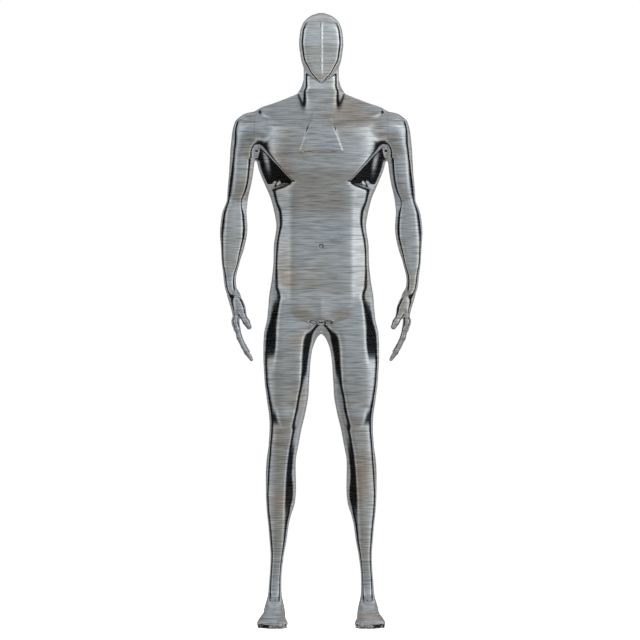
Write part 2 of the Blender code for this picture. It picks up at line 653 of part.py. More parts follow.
def build_left_arm():
    """Build the left arm with its hand, its shoulder's fitting and its wrist's."""
    shoulder = Fitting("left_shoulder", (SHOULDER_X, SHOULDER_Y, SHOULDER_Z), (1, 0, 0),
                       unlock=90, disc_r=0.030, stud_r=0.008, pin_r=0.0035, pin_half=0.019,
                       slab_half=0.075)
    shoulder.make(inside_of(arm(1, BULKHEAD_FIT)), inside_of(arm(1, BULKHEAD_FIT)))
    named(left_arm_shell(), "left_arm_shell", "brushed_shell")
    wrist = WristFitting("left_wrist", (WRIST_X, WRIST_Y, WRIST_Z), (0, 0, -1), unlock=90,
                         disc_r=0.0, stud_r=0.0035, pin_r=0.0015, pin_half=0.008,
                         slab_half=0.06)
    wrist.make_in(arm(1, BULKHEAD_FIT))
    hand = combine(left_palm_and_fingers(), "DIFFERENCE", wrist.bore())
    named(hand, "left_hand", "brushed_shell")


def build_right_arm():
    """Mirror every piece of the left shoulder, arm, wrist and hand."""
    for piece in list(bpy.data.objects):
        if piece.name.startswith(("left_shoulder", "left_arm", "left_wrist", "left_hand")):
            mirrored(piece, piece.name.replace("left", "right"))


def build():
    """Build the mannequin, shell by shell and fitting by fitting."""
    clear_file()
    build_shells()
    build_waist_and_neck()
    build_hip()
    build_left_arm()
    build_right_arm()
    foot_socket()


build()
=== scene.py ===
"""Looks of a full body display mannequin with a brushed metal skin.

The body is one smooth solid that is described by a distance-like function: limbs are lofts
through stations, and muscles are ellipsoid lobes that swell or hollow them. Each shell of the
CAD frame gets its own skin, which is the surface of that solid between the shell's cutting
planes. All sizes are in millimetres where a name ends in _mm or a table says so, else metres.
"""

import json
import logging
import math
from dataclasses import dataclass, field
from enum import Enum
from typing import Callable

import bmesh
import bpy
import numpy as np
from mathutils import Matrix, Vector


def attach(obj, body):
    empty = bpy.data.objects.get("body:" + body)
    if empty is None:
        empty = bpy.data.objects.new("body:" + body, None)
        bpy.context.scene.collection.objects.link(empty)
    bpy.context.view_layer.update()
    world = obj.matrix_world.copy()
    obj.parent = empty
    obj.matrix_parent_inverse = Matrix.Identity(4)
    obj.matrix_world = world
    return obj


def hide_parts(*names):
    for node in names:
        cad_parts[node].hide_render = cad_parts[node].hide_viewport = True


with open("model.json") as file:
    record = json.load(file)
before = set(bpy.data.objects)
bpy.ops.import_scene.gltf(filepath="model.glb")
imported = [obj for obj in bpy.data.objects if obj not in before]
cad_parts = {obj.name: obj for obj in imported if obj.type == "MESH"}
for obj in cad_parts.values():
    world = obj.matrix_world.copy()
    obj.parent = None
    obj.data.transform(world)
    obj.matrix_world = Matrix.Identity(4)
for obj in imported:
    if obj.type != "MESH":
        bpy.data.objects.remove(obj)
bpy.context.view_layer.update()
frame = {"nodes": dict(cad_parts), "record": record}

LOG = logging.getLogger("mannequin")

Array = np.ndarray
Solid = Callable[[Array, Array, Array], Array]    # a solid, as its distances at x, y and z
Socket = bpy.types.NodeSocket
Tree = bpy.types.NodeTree

MM = 0.001
PLUMB_Y = 0.033          # the figure stands this far back over the middle of its footprint
SEAM = 0.0002            # each skin stops this far short of its cutting plane
WAIST_Z, NECK_Z, WRIST_Z, SHOULDER_X = 1.100, 1.645, 1.045, 0.2045
HIP_TILT, HIP_LOW_Z = math.radians(38.0), 0.900
CUT_SNAP, ON_CUT = 1e-6, 1e-5    # how near a point is to a cutting plane to count as on it
SHARP_ANGLE = math.radians(60.0)
TRIM = 0.004             # skins are made this much past a cutting plane, then trimmed
FILLET_DEPTH = 0.25      # depth of a fillet as a share of its reach
LEAST_RHO = 1e-3         # keeps the middle of a section finite
SHADER = "Principled BSDF"
HEAD_BRIGHTNESS = 1.40   # the head's metal against that of the body
NEAREST_RIM = 0.985      # a front's depth is read no nearer its rim than this
SPIGOT, SPIGOT_RADIUS, SPIGOT_DEPTH = (-0.144, 0.018 + PLUMB_Y), 0.0088, 0.0855

# Stations, in millimetres: level, middle x, middle y, outward, inward, forward, backward,
# and the superellipse power of the front and of the back.
TRUNK = [
    (905, 0, 8, 18, 18, 45, 55, 2.0, 2.0), (914, 0, 8, 60, 60, 66, 78, 2.2, 2.0),
    (926, 0, 9, 98, 98, 81, 96, 2.6, 2.0), (940, 0, 10, 124, 124, 89, 106, 3.0, 2.1),
    (970, 0, 10, 148, 148, 95, 110, 4.0, 2.1),
    (1015, 0, 14, 158, 158, 97, 100, 5.0, 2.1), (1064, 0, 16, 152, 152, 101, 82, 6.0, 2.1),
    (1113, 0, 18, 147, 147, 103, 70, 6.0, 2.1), (1162, 0, 20, 146, 146, 104, 62, 6.0, 2.1),
    (1225, 0, 22, 138, 138, 106, 61, 6.0, 2.1), (1260, 0, 24, 143, 143, 109, 63, 5.5, 2.1),
    (1309, 0, 26, 155, 155, 119, 69, 4.5, 2.1), (1358, 0, 28, 171, 171, 130, 74, 3.2, 2.1),
    (1407, 0, 28, 191, 191, 138, 80, 2.7, 2.1), (1440, 0, 26, 197, 197, 138, 84, 2.5, 2.1),
    (1480, 0, 22, 203, 203, 133, 89, 2.4, 2.1), (1520, 0, 18, 204, 204, 120, 92, 2.3, 2.1),
    (1555, 0, 14, 203, 203, 104, 90, 2.0, 2.0), (1578, 0, 12, 199, 199, 88, 84, 2.6, 2.0),
    (1590, 0, 12, 186, 186, 78, 78, 3.2, 2.0), (1600, 0, 12, 157, 157, 70, 73, 3.8, 2.0),
    (1612, 0, 12, 125, 125, 64, 69, 4.0, 2.0), (1624, 0, 12, 96, 96, 60, 66, 4.0, 2.0),
    (1637, 0, 12, 68, 68, 57, 64, 3.6, 2.0), (1660, 0, 12, 55, 55, 53, 61, 3.2, 2.0),
    (1700, 0, 9, 54, 54, 48, 58, 2.0, 2.0), (1740, 0, 2, 54, 54, 44, 60, 2.0, 2.0),
    (1790, 0, -6, 44, 44, 40, 54, 2.0, 2.0),
]
NECK = [
    (1470, 0, -40, 52, 52, 50, 60, 4.0, 2.0), (1520, 0, -22, 54, 54, 52, 60, 4.0, 2.0),
    (1560, 0, -8, 54, 54, 54, 62, 4.0, 2.0), (1600, 0, 4, 55, 55, 56, 64, 4.0, 2.0),
    (1637, 0, 12, 61, 61, 57, 64, 3.2, 2.0), (1660, 0, 12, 55, 55, 53, 61, 3.2, 2.0),
    (1700, 0, 9, 54, 54, 48, 58, 3.2, 2.0), (1740, 0, 2, 54, 54, 44, 60, 2.0, 2.0),
    (1790, 0, -6, 44, 44, 40, 54, 2.0, 2.0),
]
HEAD = [
    (1660, 0, -83, 4, 4, 4, 6, 2.0, 2.0), (1665, 0, -80, 9, 9, 10, 15, 2.0, 2.0),
    (1673, 0, -70, 20, 20, 21, 30, 2.4, 2.0), (1687, 0, -55, 33, 33, 39, 45, 4.2, 2.0),
    (1710, 0, -30, 48, 48, 66, 60, 5.0, 2.1), (1728, 0, -18, 59, 59, 80, 70, 5.0, 2.1),
    (1750, 0, -12, 64, 64, 88, 85, 5.0, 2.1), (1784, 0, -10, 68, 68, 94, 94, 5.0, 2.1),
    (1820, 0, -10, 65, 65, 89, 93, 5.0, 2.1), (1845, 0, -10, 57, 57, 79, 84, 5.0, 2.0),
    (1859, 0, -10, 47, 47, 66, 71, 3.6, 2.0), (1870, 0, -10, 34, 34, 47, 53, 2.6, 2.0),
    (1877, 0, -10, 19, 19, 27, 31, 2.0, 2.0), (1879, 0, -10, 9, 9, 12, 14, 2.0, 2.0),
    (1880, 0, -10, 3, 3, 4, 4, 2.0, 2.0),
]
LEG = [
    (1060, 85, 0, 25, 30, 30, 40, 2.0, 2.0), (1030, 88, 2, 60, 60, 52, 75, 2.0, 2.0),
    (991, 91, 6, 70, 70, 78, 90, 3.0, 2.1), (942, 94, 8, 72, 72, 88, 96, 3.6, 2.1),
    (893, 97, 8, 79, 78, 92, 88, 4.6, 2.1), (844, 103, 8, 75, 75, 93, 78, 5.0, 2.1),
    (795, 106, 8, 71, 72, 92, 71, 5.0, 2.1), (746, 106, 8, 68, 69, 88, 67, 5.0, 2.1),
    (697, 104, 8, 64, 64, 83, 62, 4.6, 2.1), (648, 105, 8, 56, 56, 76, 57, 4.0, 2.1),
    (599, 110, 8, 49, 49, 69, 50, 4.0, 2.1), (550, 116, 8, 46, 46, 65, 45, 4.0, 2.1),
    (501, 122, 9, 43, 43, 58, 52, 4.0, 2.1), (452, 126, 10, 42, 43, 52, 60, 4.0, 2.1),
    (403, 127, 12, 43, 43, 48, 65, 4.0, 2.1), (354, 129, 13, 39, 40, 45, 60, 4.0, 2.1),
    (305, 132, 14, 31, 32, 41, 50, 4.0, 2.1), (256, 133, 16, 26, 26, 36, 42, 3.5, 2.0),
    (207, 136, 18, 20, 20, 32, 36, 3.0, 1.9), (158, 140, 19, 18, 18, 29, 34, 2.6, 1.8),
    (109, 143, 20, 19, 20, 32, 40, 1.9, 1.9), (70, 144, 20, 23, 24, 45, 46, 2.0, 2.0),
    (35, 145, 18, 27, 27, 50, 47, 2.0, 2.0), (12, 145, 18, 26, 26, 46, 45, 2.0, 2.0),
]
ARM = [
    (1577, 206, 12, 10, 20, 10, 10, 2.0, 2.0), (1572, 209, 12, 26, 40, 30, 32, 2.0, 2.0),
    (1562, 212, 12, 39, 50, 45, 47, 2.0, 2.0), (1546, 214, 12, 52, 50, 55, 56, 3.0, 2.0),
    (1520, 216, 12, 56, 50, 61, 60, 3.0, 2.1), (1480, 222, 13, 50, 30, 61, 58, 3.0, 2.1),
    (1456, 230, 14, 43, 24, 56, 55, 3.2, 2.1), (1430, 239, 15, 36, 31, 51, 51, 3.2, 2.1),
    (1382, 248, 16, 35, 35, 46, 46, 3.2, 2.1), (1333, 256, 17, 33, 34, 43, 42, 3.2, 2.1),
    (1300, 259, 18, 32, 32, 40, 40, 3.2, 2.1), (1260, 268, 14, 36, 37, 41, 38, 3.2, 2.1),
    (1211, 271, 8, 40, 40, 41, 36, 3.2, 2.1), (1162, 275, -2, 34, 34, 36, 33, 3.2, 2.1),
    (1113, 278, -10, 28, 27, 31, 29, 3.2, 2.1), (1064, 281, -18, 19, 19, 27, 26, 2.1, 2.1),
    (1040, 279, -21, 18, 18, 28, 27, 2.1, 2.1), (1015, 272, -25, 18, 18, 31, 30, 2.2, 2.2),
    (991, 268, -30, 15, 14, 36, 34, 2.2, 2.2), (966, 263, -35, 12, 12, 40, 37, 2.3, 2.3),
    (942, 261, -38, 10, 11, 41, 38, 2.3, 2.3), (920, 262, -38, 9, 10, 40, 37, 2.3, 2.3),
    (905, 260, -38, 7, 7, 36, 33, 2.3, 2.3),
]
# The foot's stations stand across it: y, middle x, half width, height of the top.
FOOT = [
    (78, 143, 12, 24), (70, 143, 22, 40), (50, 143, 29, 58), (20, 144, 31, 66),
    (-20, 145, 32, 60), (-60, 147, 38, 44), (-100, 149, 45, 29), (-130, 149, 47, 20),
    (-150, 148, 45, 14), (-165, 145, 40, 8), (-172, 144, 34, 4),
]
FOOT_MIDDLE_MM, FOOT_UNDER_MM = 11.0, 16.0


def soft_union(a: Array, b: Array, reach: float) -> Array:
    """Join two solids with a fillet.

    The smaller of the two distances, lowered by the square of how near they are to equal.

    Args:
        a: Distances to the first solid.
        b: Distances to the second solid.
        reach: How near the two must be for the fillet to start, in metres.

    Returns:
        Distances to the joined solid.
    """
    near = np.maximum(reach - np.abs(a - b), 0.0) / reach
    return np.minimum(a, b) - near * near * reach * FILLET_DEPTH


def soft_common(a: Array, b: Array, reach: float) -> Array:
    """Keep what two solids share, with a rounded edge; the mirror of soft_union."""
    return -soft_union(-a, -b, reach)


def above(z: Array, level: float, run: float) -> Array:
    """Return 0 up to a level, rising evenly to 1 over a run past it."""
    return np.clip((z - level) / run, 0.0, 1.0)


def below(z: Array, level: float, run: float) -> Array:
    """Return 0 down to a level, rising evenly to 1 over a run under it."""
    return np.clip((level - z) / run, 0.0, 1.0)


class Curve:
    """A smooth curve through table values that never overshoots them (monotone cubic)."""

    def __init__(self, at: Array, value: Array) -> None:
        """Sort the table and work out a slope at each entry.

        Args:
            at: Where the values are given.
            value: The values there.
        """
        order = np.argsort(at)
        self.at = np.asarray(at, float)[order]
        self.value = np.asarray(value, float)[order]
        step = np.diff(self.at)
        rise = np.diff(self.value) / step
        slope = np.zeros_like(self.value)
        same_way = rise[1:] * rise[:-1] > 0.0
        safe = np.where(same_way, rise[1:] + rise[:-1], 1.0)
        slope[1:-1] = np.where(same_way, 2.0 * rise[1:] * rise[:-1] / safe, 0.0)
        slope[0], slope[-1] = rise[0], rise[-1]
        self.slope = slope

    def __call__(self, where: Array) -> Array:
        """Return the curve's values; beyond its ends it keeps the end value.

        Args:
            where: The places asked for.

        Returns:
            The cubic between the two entries round each place, from their values and slopes.
        """
        where = np.clip(where, self.at[0], self.at[-1])
        i = np.clip(np.searchsorted(self.at, where) - 1, 0, len(self.at) - 2)
        step = self.at[i + 1] - self.at[i]
        t = (where - self.at[i]) / step
        a, b = self.value[i], self.value[i + 1]
        bend = t * (1.0 - t) * (self.slope[i] * step * (1.0 - t) - self.slope[i + 1] * step * t)
        return a + (b - a) * t * t * (3.0 - 2.0 * t) + bend


class Loft:
    """A limb: superellipse sections that change smoothly from station to station."""

    def __init__(self, stations: "list[tuple]") -> None:
        """Turn the station table into one curve for each of its columns, in metres.

        Args:
            stations: The table's rows, in millimetres.
        """
        table = np.array(stations, float)
        table[:, :7] *= MM
        self.low, self.high = table[:, 0].min(), table[:, 0].max()
        self.columns = [Curve(table[:, 0], table[:, i]) for i in range(1, 9)]

    def front_at(self, x: Array, z: Array) -> Array:
        """Return the depth of the limb's front surface.

        Args:
            x: Positions across.
            z: Levels.

        Returns:
            The y of the superellipse's front half there.
        """
        mid_x, mid_y, out, inward, front, _, power, _ = (column(z) for column in self.columns)
        share = np.abs(x - mid_x) / np.where(x > mid_x, out, inward)
        share = np.minimum(share, NEAREST_RIM) ** power
        return PLUMB_Y + mid_y - front * (1.0 - share) ** (1.0 / power)

    def distance(self, x: Array, y: Array, z: Array) -> Array:
        """Return the distance-like value of the limb's solid.

        In each level section it is r times (1 - 1 / rho), where rho is the superellipse
        radius of the point and r its plain distance from the section's middle. The ends are
        flat, and add the distance above the top station or under the lowest.

        Args:
            x: Positions across the figure, on its left side.
            y: Positions along the figure's depth.
            z: Levels; the three broadcast together.

        Returns:
            Negative values inside the limb, positive ones outside, zero on its surface.
        """
        mid_x, mid_y, out, inward, front, back, front_power, back_power = (
            column(z) for column in self.columns)
        dx, dy = x - mid_x, y - PLUMB_Y - mid_y
        reach_x = np.where(dx > 0.0, out, inward)
        reach_y = np.where(dy > 0.0, back, front)
        power = np.where(dy > 0.0, back_power, front_power)
        rho = ((np.abs(dx) / reach_x) ** power + (np.abs(dy) / reach_y) ** power) ** (1.0 / power)
        rho = np.maximum(rho, LEAST_RHO)
        level = np.sqrt(dx * dx + dy * dy) * (1.0 - 1.0 / rho)
        return np.maximum(level, np.maximum(z - self.high, self.low - z))


@dataclass(frozen=True)
class Facet:
    """A slanting plane down one side of a limb's front, along an edge that may wander.

    The edge is given as (level, x) and the plane's turn away from the front as (level,
    degrees), both in millimetres and degrees; way is 1 outward and -1 inward.
    """

    edge: tuple
    turn: tuple
    way: float = 1.0

    def cut(self, x: Array, y: Array, z: Array, front: Callable) -> Array:
        """Return distances to the plane.

        Args:
            x: Positions across.
            y: Positions along the depth.
            z: Levels.
            front: A function of x and z that gives the depth of the surface to be cut.

        Returns:
            Distances, negative on the side that stays.
        """
        levels, places = np.array(self.edge, float).T * MM
        edge = Curve(levels, places)(z)
        levels, turns = np.array(self.turn, float).T
        turn = np.radians(Curve(levels * MM, turns)(z))
        return self.way * (x - edge) * np.sin(turn) - (y - front(edge, z)) * np.cos(turn)


@dataclass(frozen=True)
class Lobe:
    """An ellipsoid that swells the body, or hollows it where it is a groove.

    Centre and radii are in millimetres, tilt is in degrees about X, Y and Z in that order,
    and soft is the fillet's reach in millimetres.
    """

    centre: tuple
    radii: tuple
    tilt: tuple = (0.0, 0.0, 0.0)
    soft: float = 12.0
    groove: bool = False

    def turn(self) -> Array:
        """Return the rotation that takes the lobe's own axes to the figure's.

        Returns:
            A 3 by 3 matrix: the tilt about X, then about Y, then about Z.
        """
        (ca, sa), (cb, sb), (cc, sc) = (
            (math.cos(a), math.sin(a)) for a in (math.radians(t) for t in self.tilt))
        about_x = np.array([[1, 0, 0], [0, ca, -sa], [0, sa, ca]])
        about_y = np.array([[cb, 0, sb], [0, 1, 0], [-sb, 0, cb]])
        about_z = np.array([[cc, -sc, 0], [sc, cc, 0], [0, 0, 1]])
        return about_z @ about_y @ about_x

    def distance(self, x: Array, y: Array, z: Array) -> Array:
        """Return the distance-like value k (k - 1) / g of the ellipsoid.

        k is the length of the point divided by the radii, and g that of the point divided
        by the squared radii.

        Args:
            x: Positions across.
            y: Positions along the depth.
            z: Levels.

        Returns:
            Distances, negative inside.
        """
        centre = np.array(self.centre) * MM + np.array([0.0, PLUMB_Y, 0.0])
        radii = np.array(self.radii) * MM
        turn = self.turn()
        p = [x - centre[0], y - centre[1], z - centre[2]]
        q = [sum(turn[j, i] * p[j] for j in range(3)) for i in range(3)]
        k = np.sqrt(sum((q[i] / radii[i]) ** 2 for i in range(3)))
        g = np.sqrt(sum((q[i] / radii[i] ** 2) ** 2 for i in range(3))) + 1e-9
        return k * (k - 1.0) / g

    def shape(self, body: Array, x: Array, y: Array, z: Array) -> None:
        """Work the lobe into the body's distances, in place, only near the lobe.

        Args:
            body: Distances of the body so far: a block over a grid, or one value a point.
            x: Positions across, shaped to broadcast with body.
            y: Positions along the depth.
            z: Levels.
        """
        reach = max(self.radii) * MM + 2.0 * self.soft * MM
        middle = np.array(self.centre) * MM + np.array([0.0, PLUMB_Y, 0.0])
        near = [np.abs(c - m) < reach for c, m in zip((x, y, z), middle)]
        if body.ndim == 3:
            spans = []
            for axis, hits in enumerate(near):
                found = np.flatnonzero(hits.ravel())
                if not len(found):
                    return
                spans.append(slice(found[0], found[-1] + 1))
            where = tuple(spans)
            at = (x[spans[0]], y[:, spans[1]], z[:, :, spans[2]])
        else:
            where = near[0] & near[1] & near[2]
            if not where.any():
                return
            at = (x[where], y[where], z[where])
        own = self.distance(*at)
        if self.groove:
            body[where] = soft_common(body[where], -own, self.soft * MM)
        else:
            body[where] = soft_union(body[where], own, self.soft * MM)


def capsule_chain(x: Array, y: Array, z: Array, path: tuple, radii: tuple, soft: float) -> Array:
    """Return distances to a chain of round-ended rods, as a finger or a toe.

    Each rod's distance is that to the nearest point of its middle line, less a radius that
    runs evenly between the two ends.

    Args:
        x: Positions across.
        y: Positions along the depth.
        z: Levels.
        path: Points of the middle line, in millimetres.
        radii: A radius for each point, in millimetres.
        soft: The fillet's reach between two rods, in metres.

    Returns:
        Distances to the chain.
    """
    points = np.array(path, float) * MM + np.array([0.0, PLUMB_Y, 0.0])
    radii = np.array(radii, float) * MM
    whole = None
    for a, b, ra, rb in zip(points, points[1:], radii, radii[1:]):
        run = b - a
        px, py, pz = x - a[0], y - a[1], z - a[2]
        t = np.clip((px * run[0] + py * run[1] + pz * run[2]) / (run @ run), 0.0, 1.0)
        away = np.sqrt((px - t * run[0]) ** 2 + (py - t * run[1]) ** 2 + (pz - t * run[2]) ** 2)
        rod = away - (ra + (rb - ra) * t)
        whole = rod if whole is None else soft_union(whole, rod, soft)
    return whole


def plane(x: Array, y: Array, z: Array, point: tuple, normal: tuple) -> Array:
    """Return how far each place lies on the side of a plane that the normal points to.

    Args:
        x: Positions across.
        y: Positions along the depth.
        z: Levels.
        point: A point of the plane, in millimetres.
        normal: The plane's normal, of any length.

    Returns:
        Distances, negative on the other side.
    """
    normal = np.array(normal, float)
    normal /= np.linalg.norm(normal)
    px, py, pz = (p * MM for p in point)
    return (x - px) * normal[0] + (y - PLUMB_Y - py) * normal[1] + (z - pz) * normal[2]


TRUNK_LOFT, HEAD_LOFT, LEG_LOFT, ARM_LOFT = Loft(TRUNK), Loft(HEAD), Loft(LEG), Loft(ARM)
NECK_LOFT = Loft(NECK)

BELLY = Facet(((900, 83), (1400, 83)), ((900, 4), (980, 30), (1340, 31), (1400, 4)))
FLANK = Facet(((943, 128), (1008, 127), (1037, 137), (1130, 139), (1177, 135), (1238, 124),
               (1264, 126), (1301, 140), (1330, 146), (1360, 160)),
              ((930, 48), (1010, 60), (1300, 62), (1360, 56)))
LEG_FACETS = (
    # outer side of the thigh, then the outer side of the shin from the knee down
    Facet(((180, 136), (300, 131), (400, 129), (480, 127), (551, 129), (600, 134), (640, 136),
           (690, 136), (750, 132), (850, 131), (900, 131), (950, 130), (1000, 126)),
          ((40, 4), (110, 14), (200, 24), (300, 27), (500, 27), (640, 30), (760, 31),
           (800, 35), (830, 41), (860, 46), (940, 48), (990, 54), (1050, 58))),
    # inner side of the thigh, then the inner side of the calf
    Facet(((180, 134), (300, 127), (400, 119), (480, 111), (530, 102), (577, 92), (623, 83),
           (689, 74), (754, 63), (800, 64), (860, 62), (893, 56), (930, 46)),
          ((40, 4), (110, 16), (200, 30), (300, 38), (400, 45), (500, 48), (580, 58), (740, 58),
           (790, 50), (880, 46), (930, 8)), -1.0),
)
ARM_FACETS = (
    # outer side, from the point of the shoulder to the wrist
    Facet(((1064, 290), (1113, 293), (1211, 297), (1260, 290), (1300, 277), (1382, 269), (1480, 258),
           (1546, 251)),
          ((1064, 12), (1113, 30), (1500, 32), (1560, 10))),
    # inner side of the upper arm and elbow
    Facet(((1083, 262), (1190, 236), (1250, 240), (1299, 248), (1337, 238), (1420, 226),
           (1460, 220)),
          ((1083, 20), (1190, 52), (1299, 62), (1337, 62), (1430, 60), (1460, 20)), -1.0),
)

TRUNK_LOBES = (
    # ribs and the saw-tooth muscle on the flank
    Lobe((131, -30, 1352), (16, 20, 12), (0, 30, 0), 7),
    Lobe((127, -30, 1322), (15, 20, 12), (0, 30, 0), 7),
    Lobe((120, -32, 1292), (15, 20, 12), (0, 30, 0), 7),
    # navel, with its knot
    Lobe((0, -88, 1161), (8.0, 12, 8.0), (0, 0, 0), 2, True),
    Lobe((0, -76, 1161), (3.4, 6, 3.4), (0, 0, 0), 1),
    # buttocks, each a full round, and the cleft between them
    Lobe((74, 52, 938), (66, 62, 88), (10, 0, 0), 44),
    Lobe((0, 124, 935), (9, 36, 72), (0, 0, 0), 24, True),
    # small of the back and spine
    Lobe((0, 108, 1190), (12, 22, 150), (2, 0, 0), 22, True),
    Lobe((0, 124, 1420), (10, 18, 150), (-2, 0, 0), 22, True),
    # shoulder blades
    Lobe((96, 76, 1478), (58, 34, 76), (0, 14, 0), 20),
    # back edge of the flank, from armpit to waist
    Lobe((150, 40, 1400), (36, 52, 95), (0, 18, 0), 18),
    # pubic mound and the two dimples over the crotch
    Lobe((-22, -62, 972), (26, 28, 36), (0, 0, 0), 24),
    Lobe((21, -84, 928), (13, 20, 6.5), (0, 8, 0), 3, True),
)
CROTCH_LOBES = (
    # the bridge between the thighs
    Lobe((0, -4, 941), (42, 82, 36), (0, 0, 0), 32),
)
LEG_LOBES = (
    # kneecap
    Lobe((110, -56, 640), (20, 14, 28), (0, 0, 0), 22),
    # the two calf heads
    Lobe((104, 36, 445), (21, 32, 88), (0, 4, 0), 24),
    Lobe((144, 36, 455), (20, 29, 80), (0, 4, 0), 24),
    # groove up the back of the thigh
    Lobe((104, 92, 760), (7, 16, 120), (-3, 0, 0), 14, True),
)
ARM_LOBES = (
    # where the chest runs into the shoulder
    Lobe((181, -16, 1517), (64, 47, 42), (0, -6, 0), 18),
    # front and side of the shoulder, with its point half way down the upper arm
    Lobe((242, 14, 1462), (32, 36, 74), (0, -8, 0), 26),
    # front and back of the upper arm
    Lobe((245, -6, 1378), (27, 32, 66), (0, -6, 0), 22),
    Lobe((250, 36, 1392), (25, 28, 74), (0, -4, 0), 22),
    # forearm: the outer roll from above the elbow, and the inner belly
    Lobe((277, -6, 1226), (21, 26, 64), (0, 4, 0), 22),
    Lobe((256, 2, 1200), (20, 26, 62), (0, -4, 0), 22),
    # elbow
    Lobe((258, 54, 1296), (14, 10, 20), (0, 0, 0), 10),
)
HAND_LOBES = (
    # ball of the thumb, heel of the hand, hollow of the palm, knuckles
    Lobe((251, -58, 983), (14, 20, 34), (0, 22, 0), 20),
    Lobe((257, -14, 983), (13, 18, 36), (0, 6, 0), 20),
    Lobe((240, -36, 948), (11, 22, 30), (0, 6, 0), 10, True),
    Lobe((266, -38, 930), (8, 38, 12), (0, 0, 0), 8),
)
LOBES = {"crotch": CROTCH_LOBES, "trunk": TRUNK_LOBES, "leg": LEG_LOBES, "arm": ARM_LOBES,
         "hand": HAND_LOBES}
FINGERS = {
    # name: y of the finger, share of the full length, radius at the knuckle and at the tip
    "index": (-69, 0.93, 9.3, 6.6), "middle": (-48, 1.00, 9.4, 6.6),
    "ring": (-27, 0.95, 9.0, 6.3), "little": (-8, 0.80, 8.0, 5.6),
}
FINGER_PATH = ((263, 935), (256, 905), (250, 880), (239, 855), (229, 836), (214, 815))
FINGER_BULGE = (1.0, 0.95, 1.03, 0.93, 0.98, 0.80)
THUMB_PATH = ((262, -54, 990), (251, -66, 968), (241, -76, 950), (229, -83, 930), (221, -86, 915))
THUMB_RADII = (12.0, 11.5, 10.2, 10.4, 8.2)
TOES = (
    # knuckle x, y, and tip x, y, with the radius at each: big toe first
    (124, -140, 12.0, 125, -180, 11.0), (141, -142, 9.0, 144, -181, 7.6),
    (157, -140, 8.5, 161, -174, 7.2), (171, -134, 8.0, 175, -164, 6.8),
    (183, -125, 7.6, 187, -151, 6.4),
)


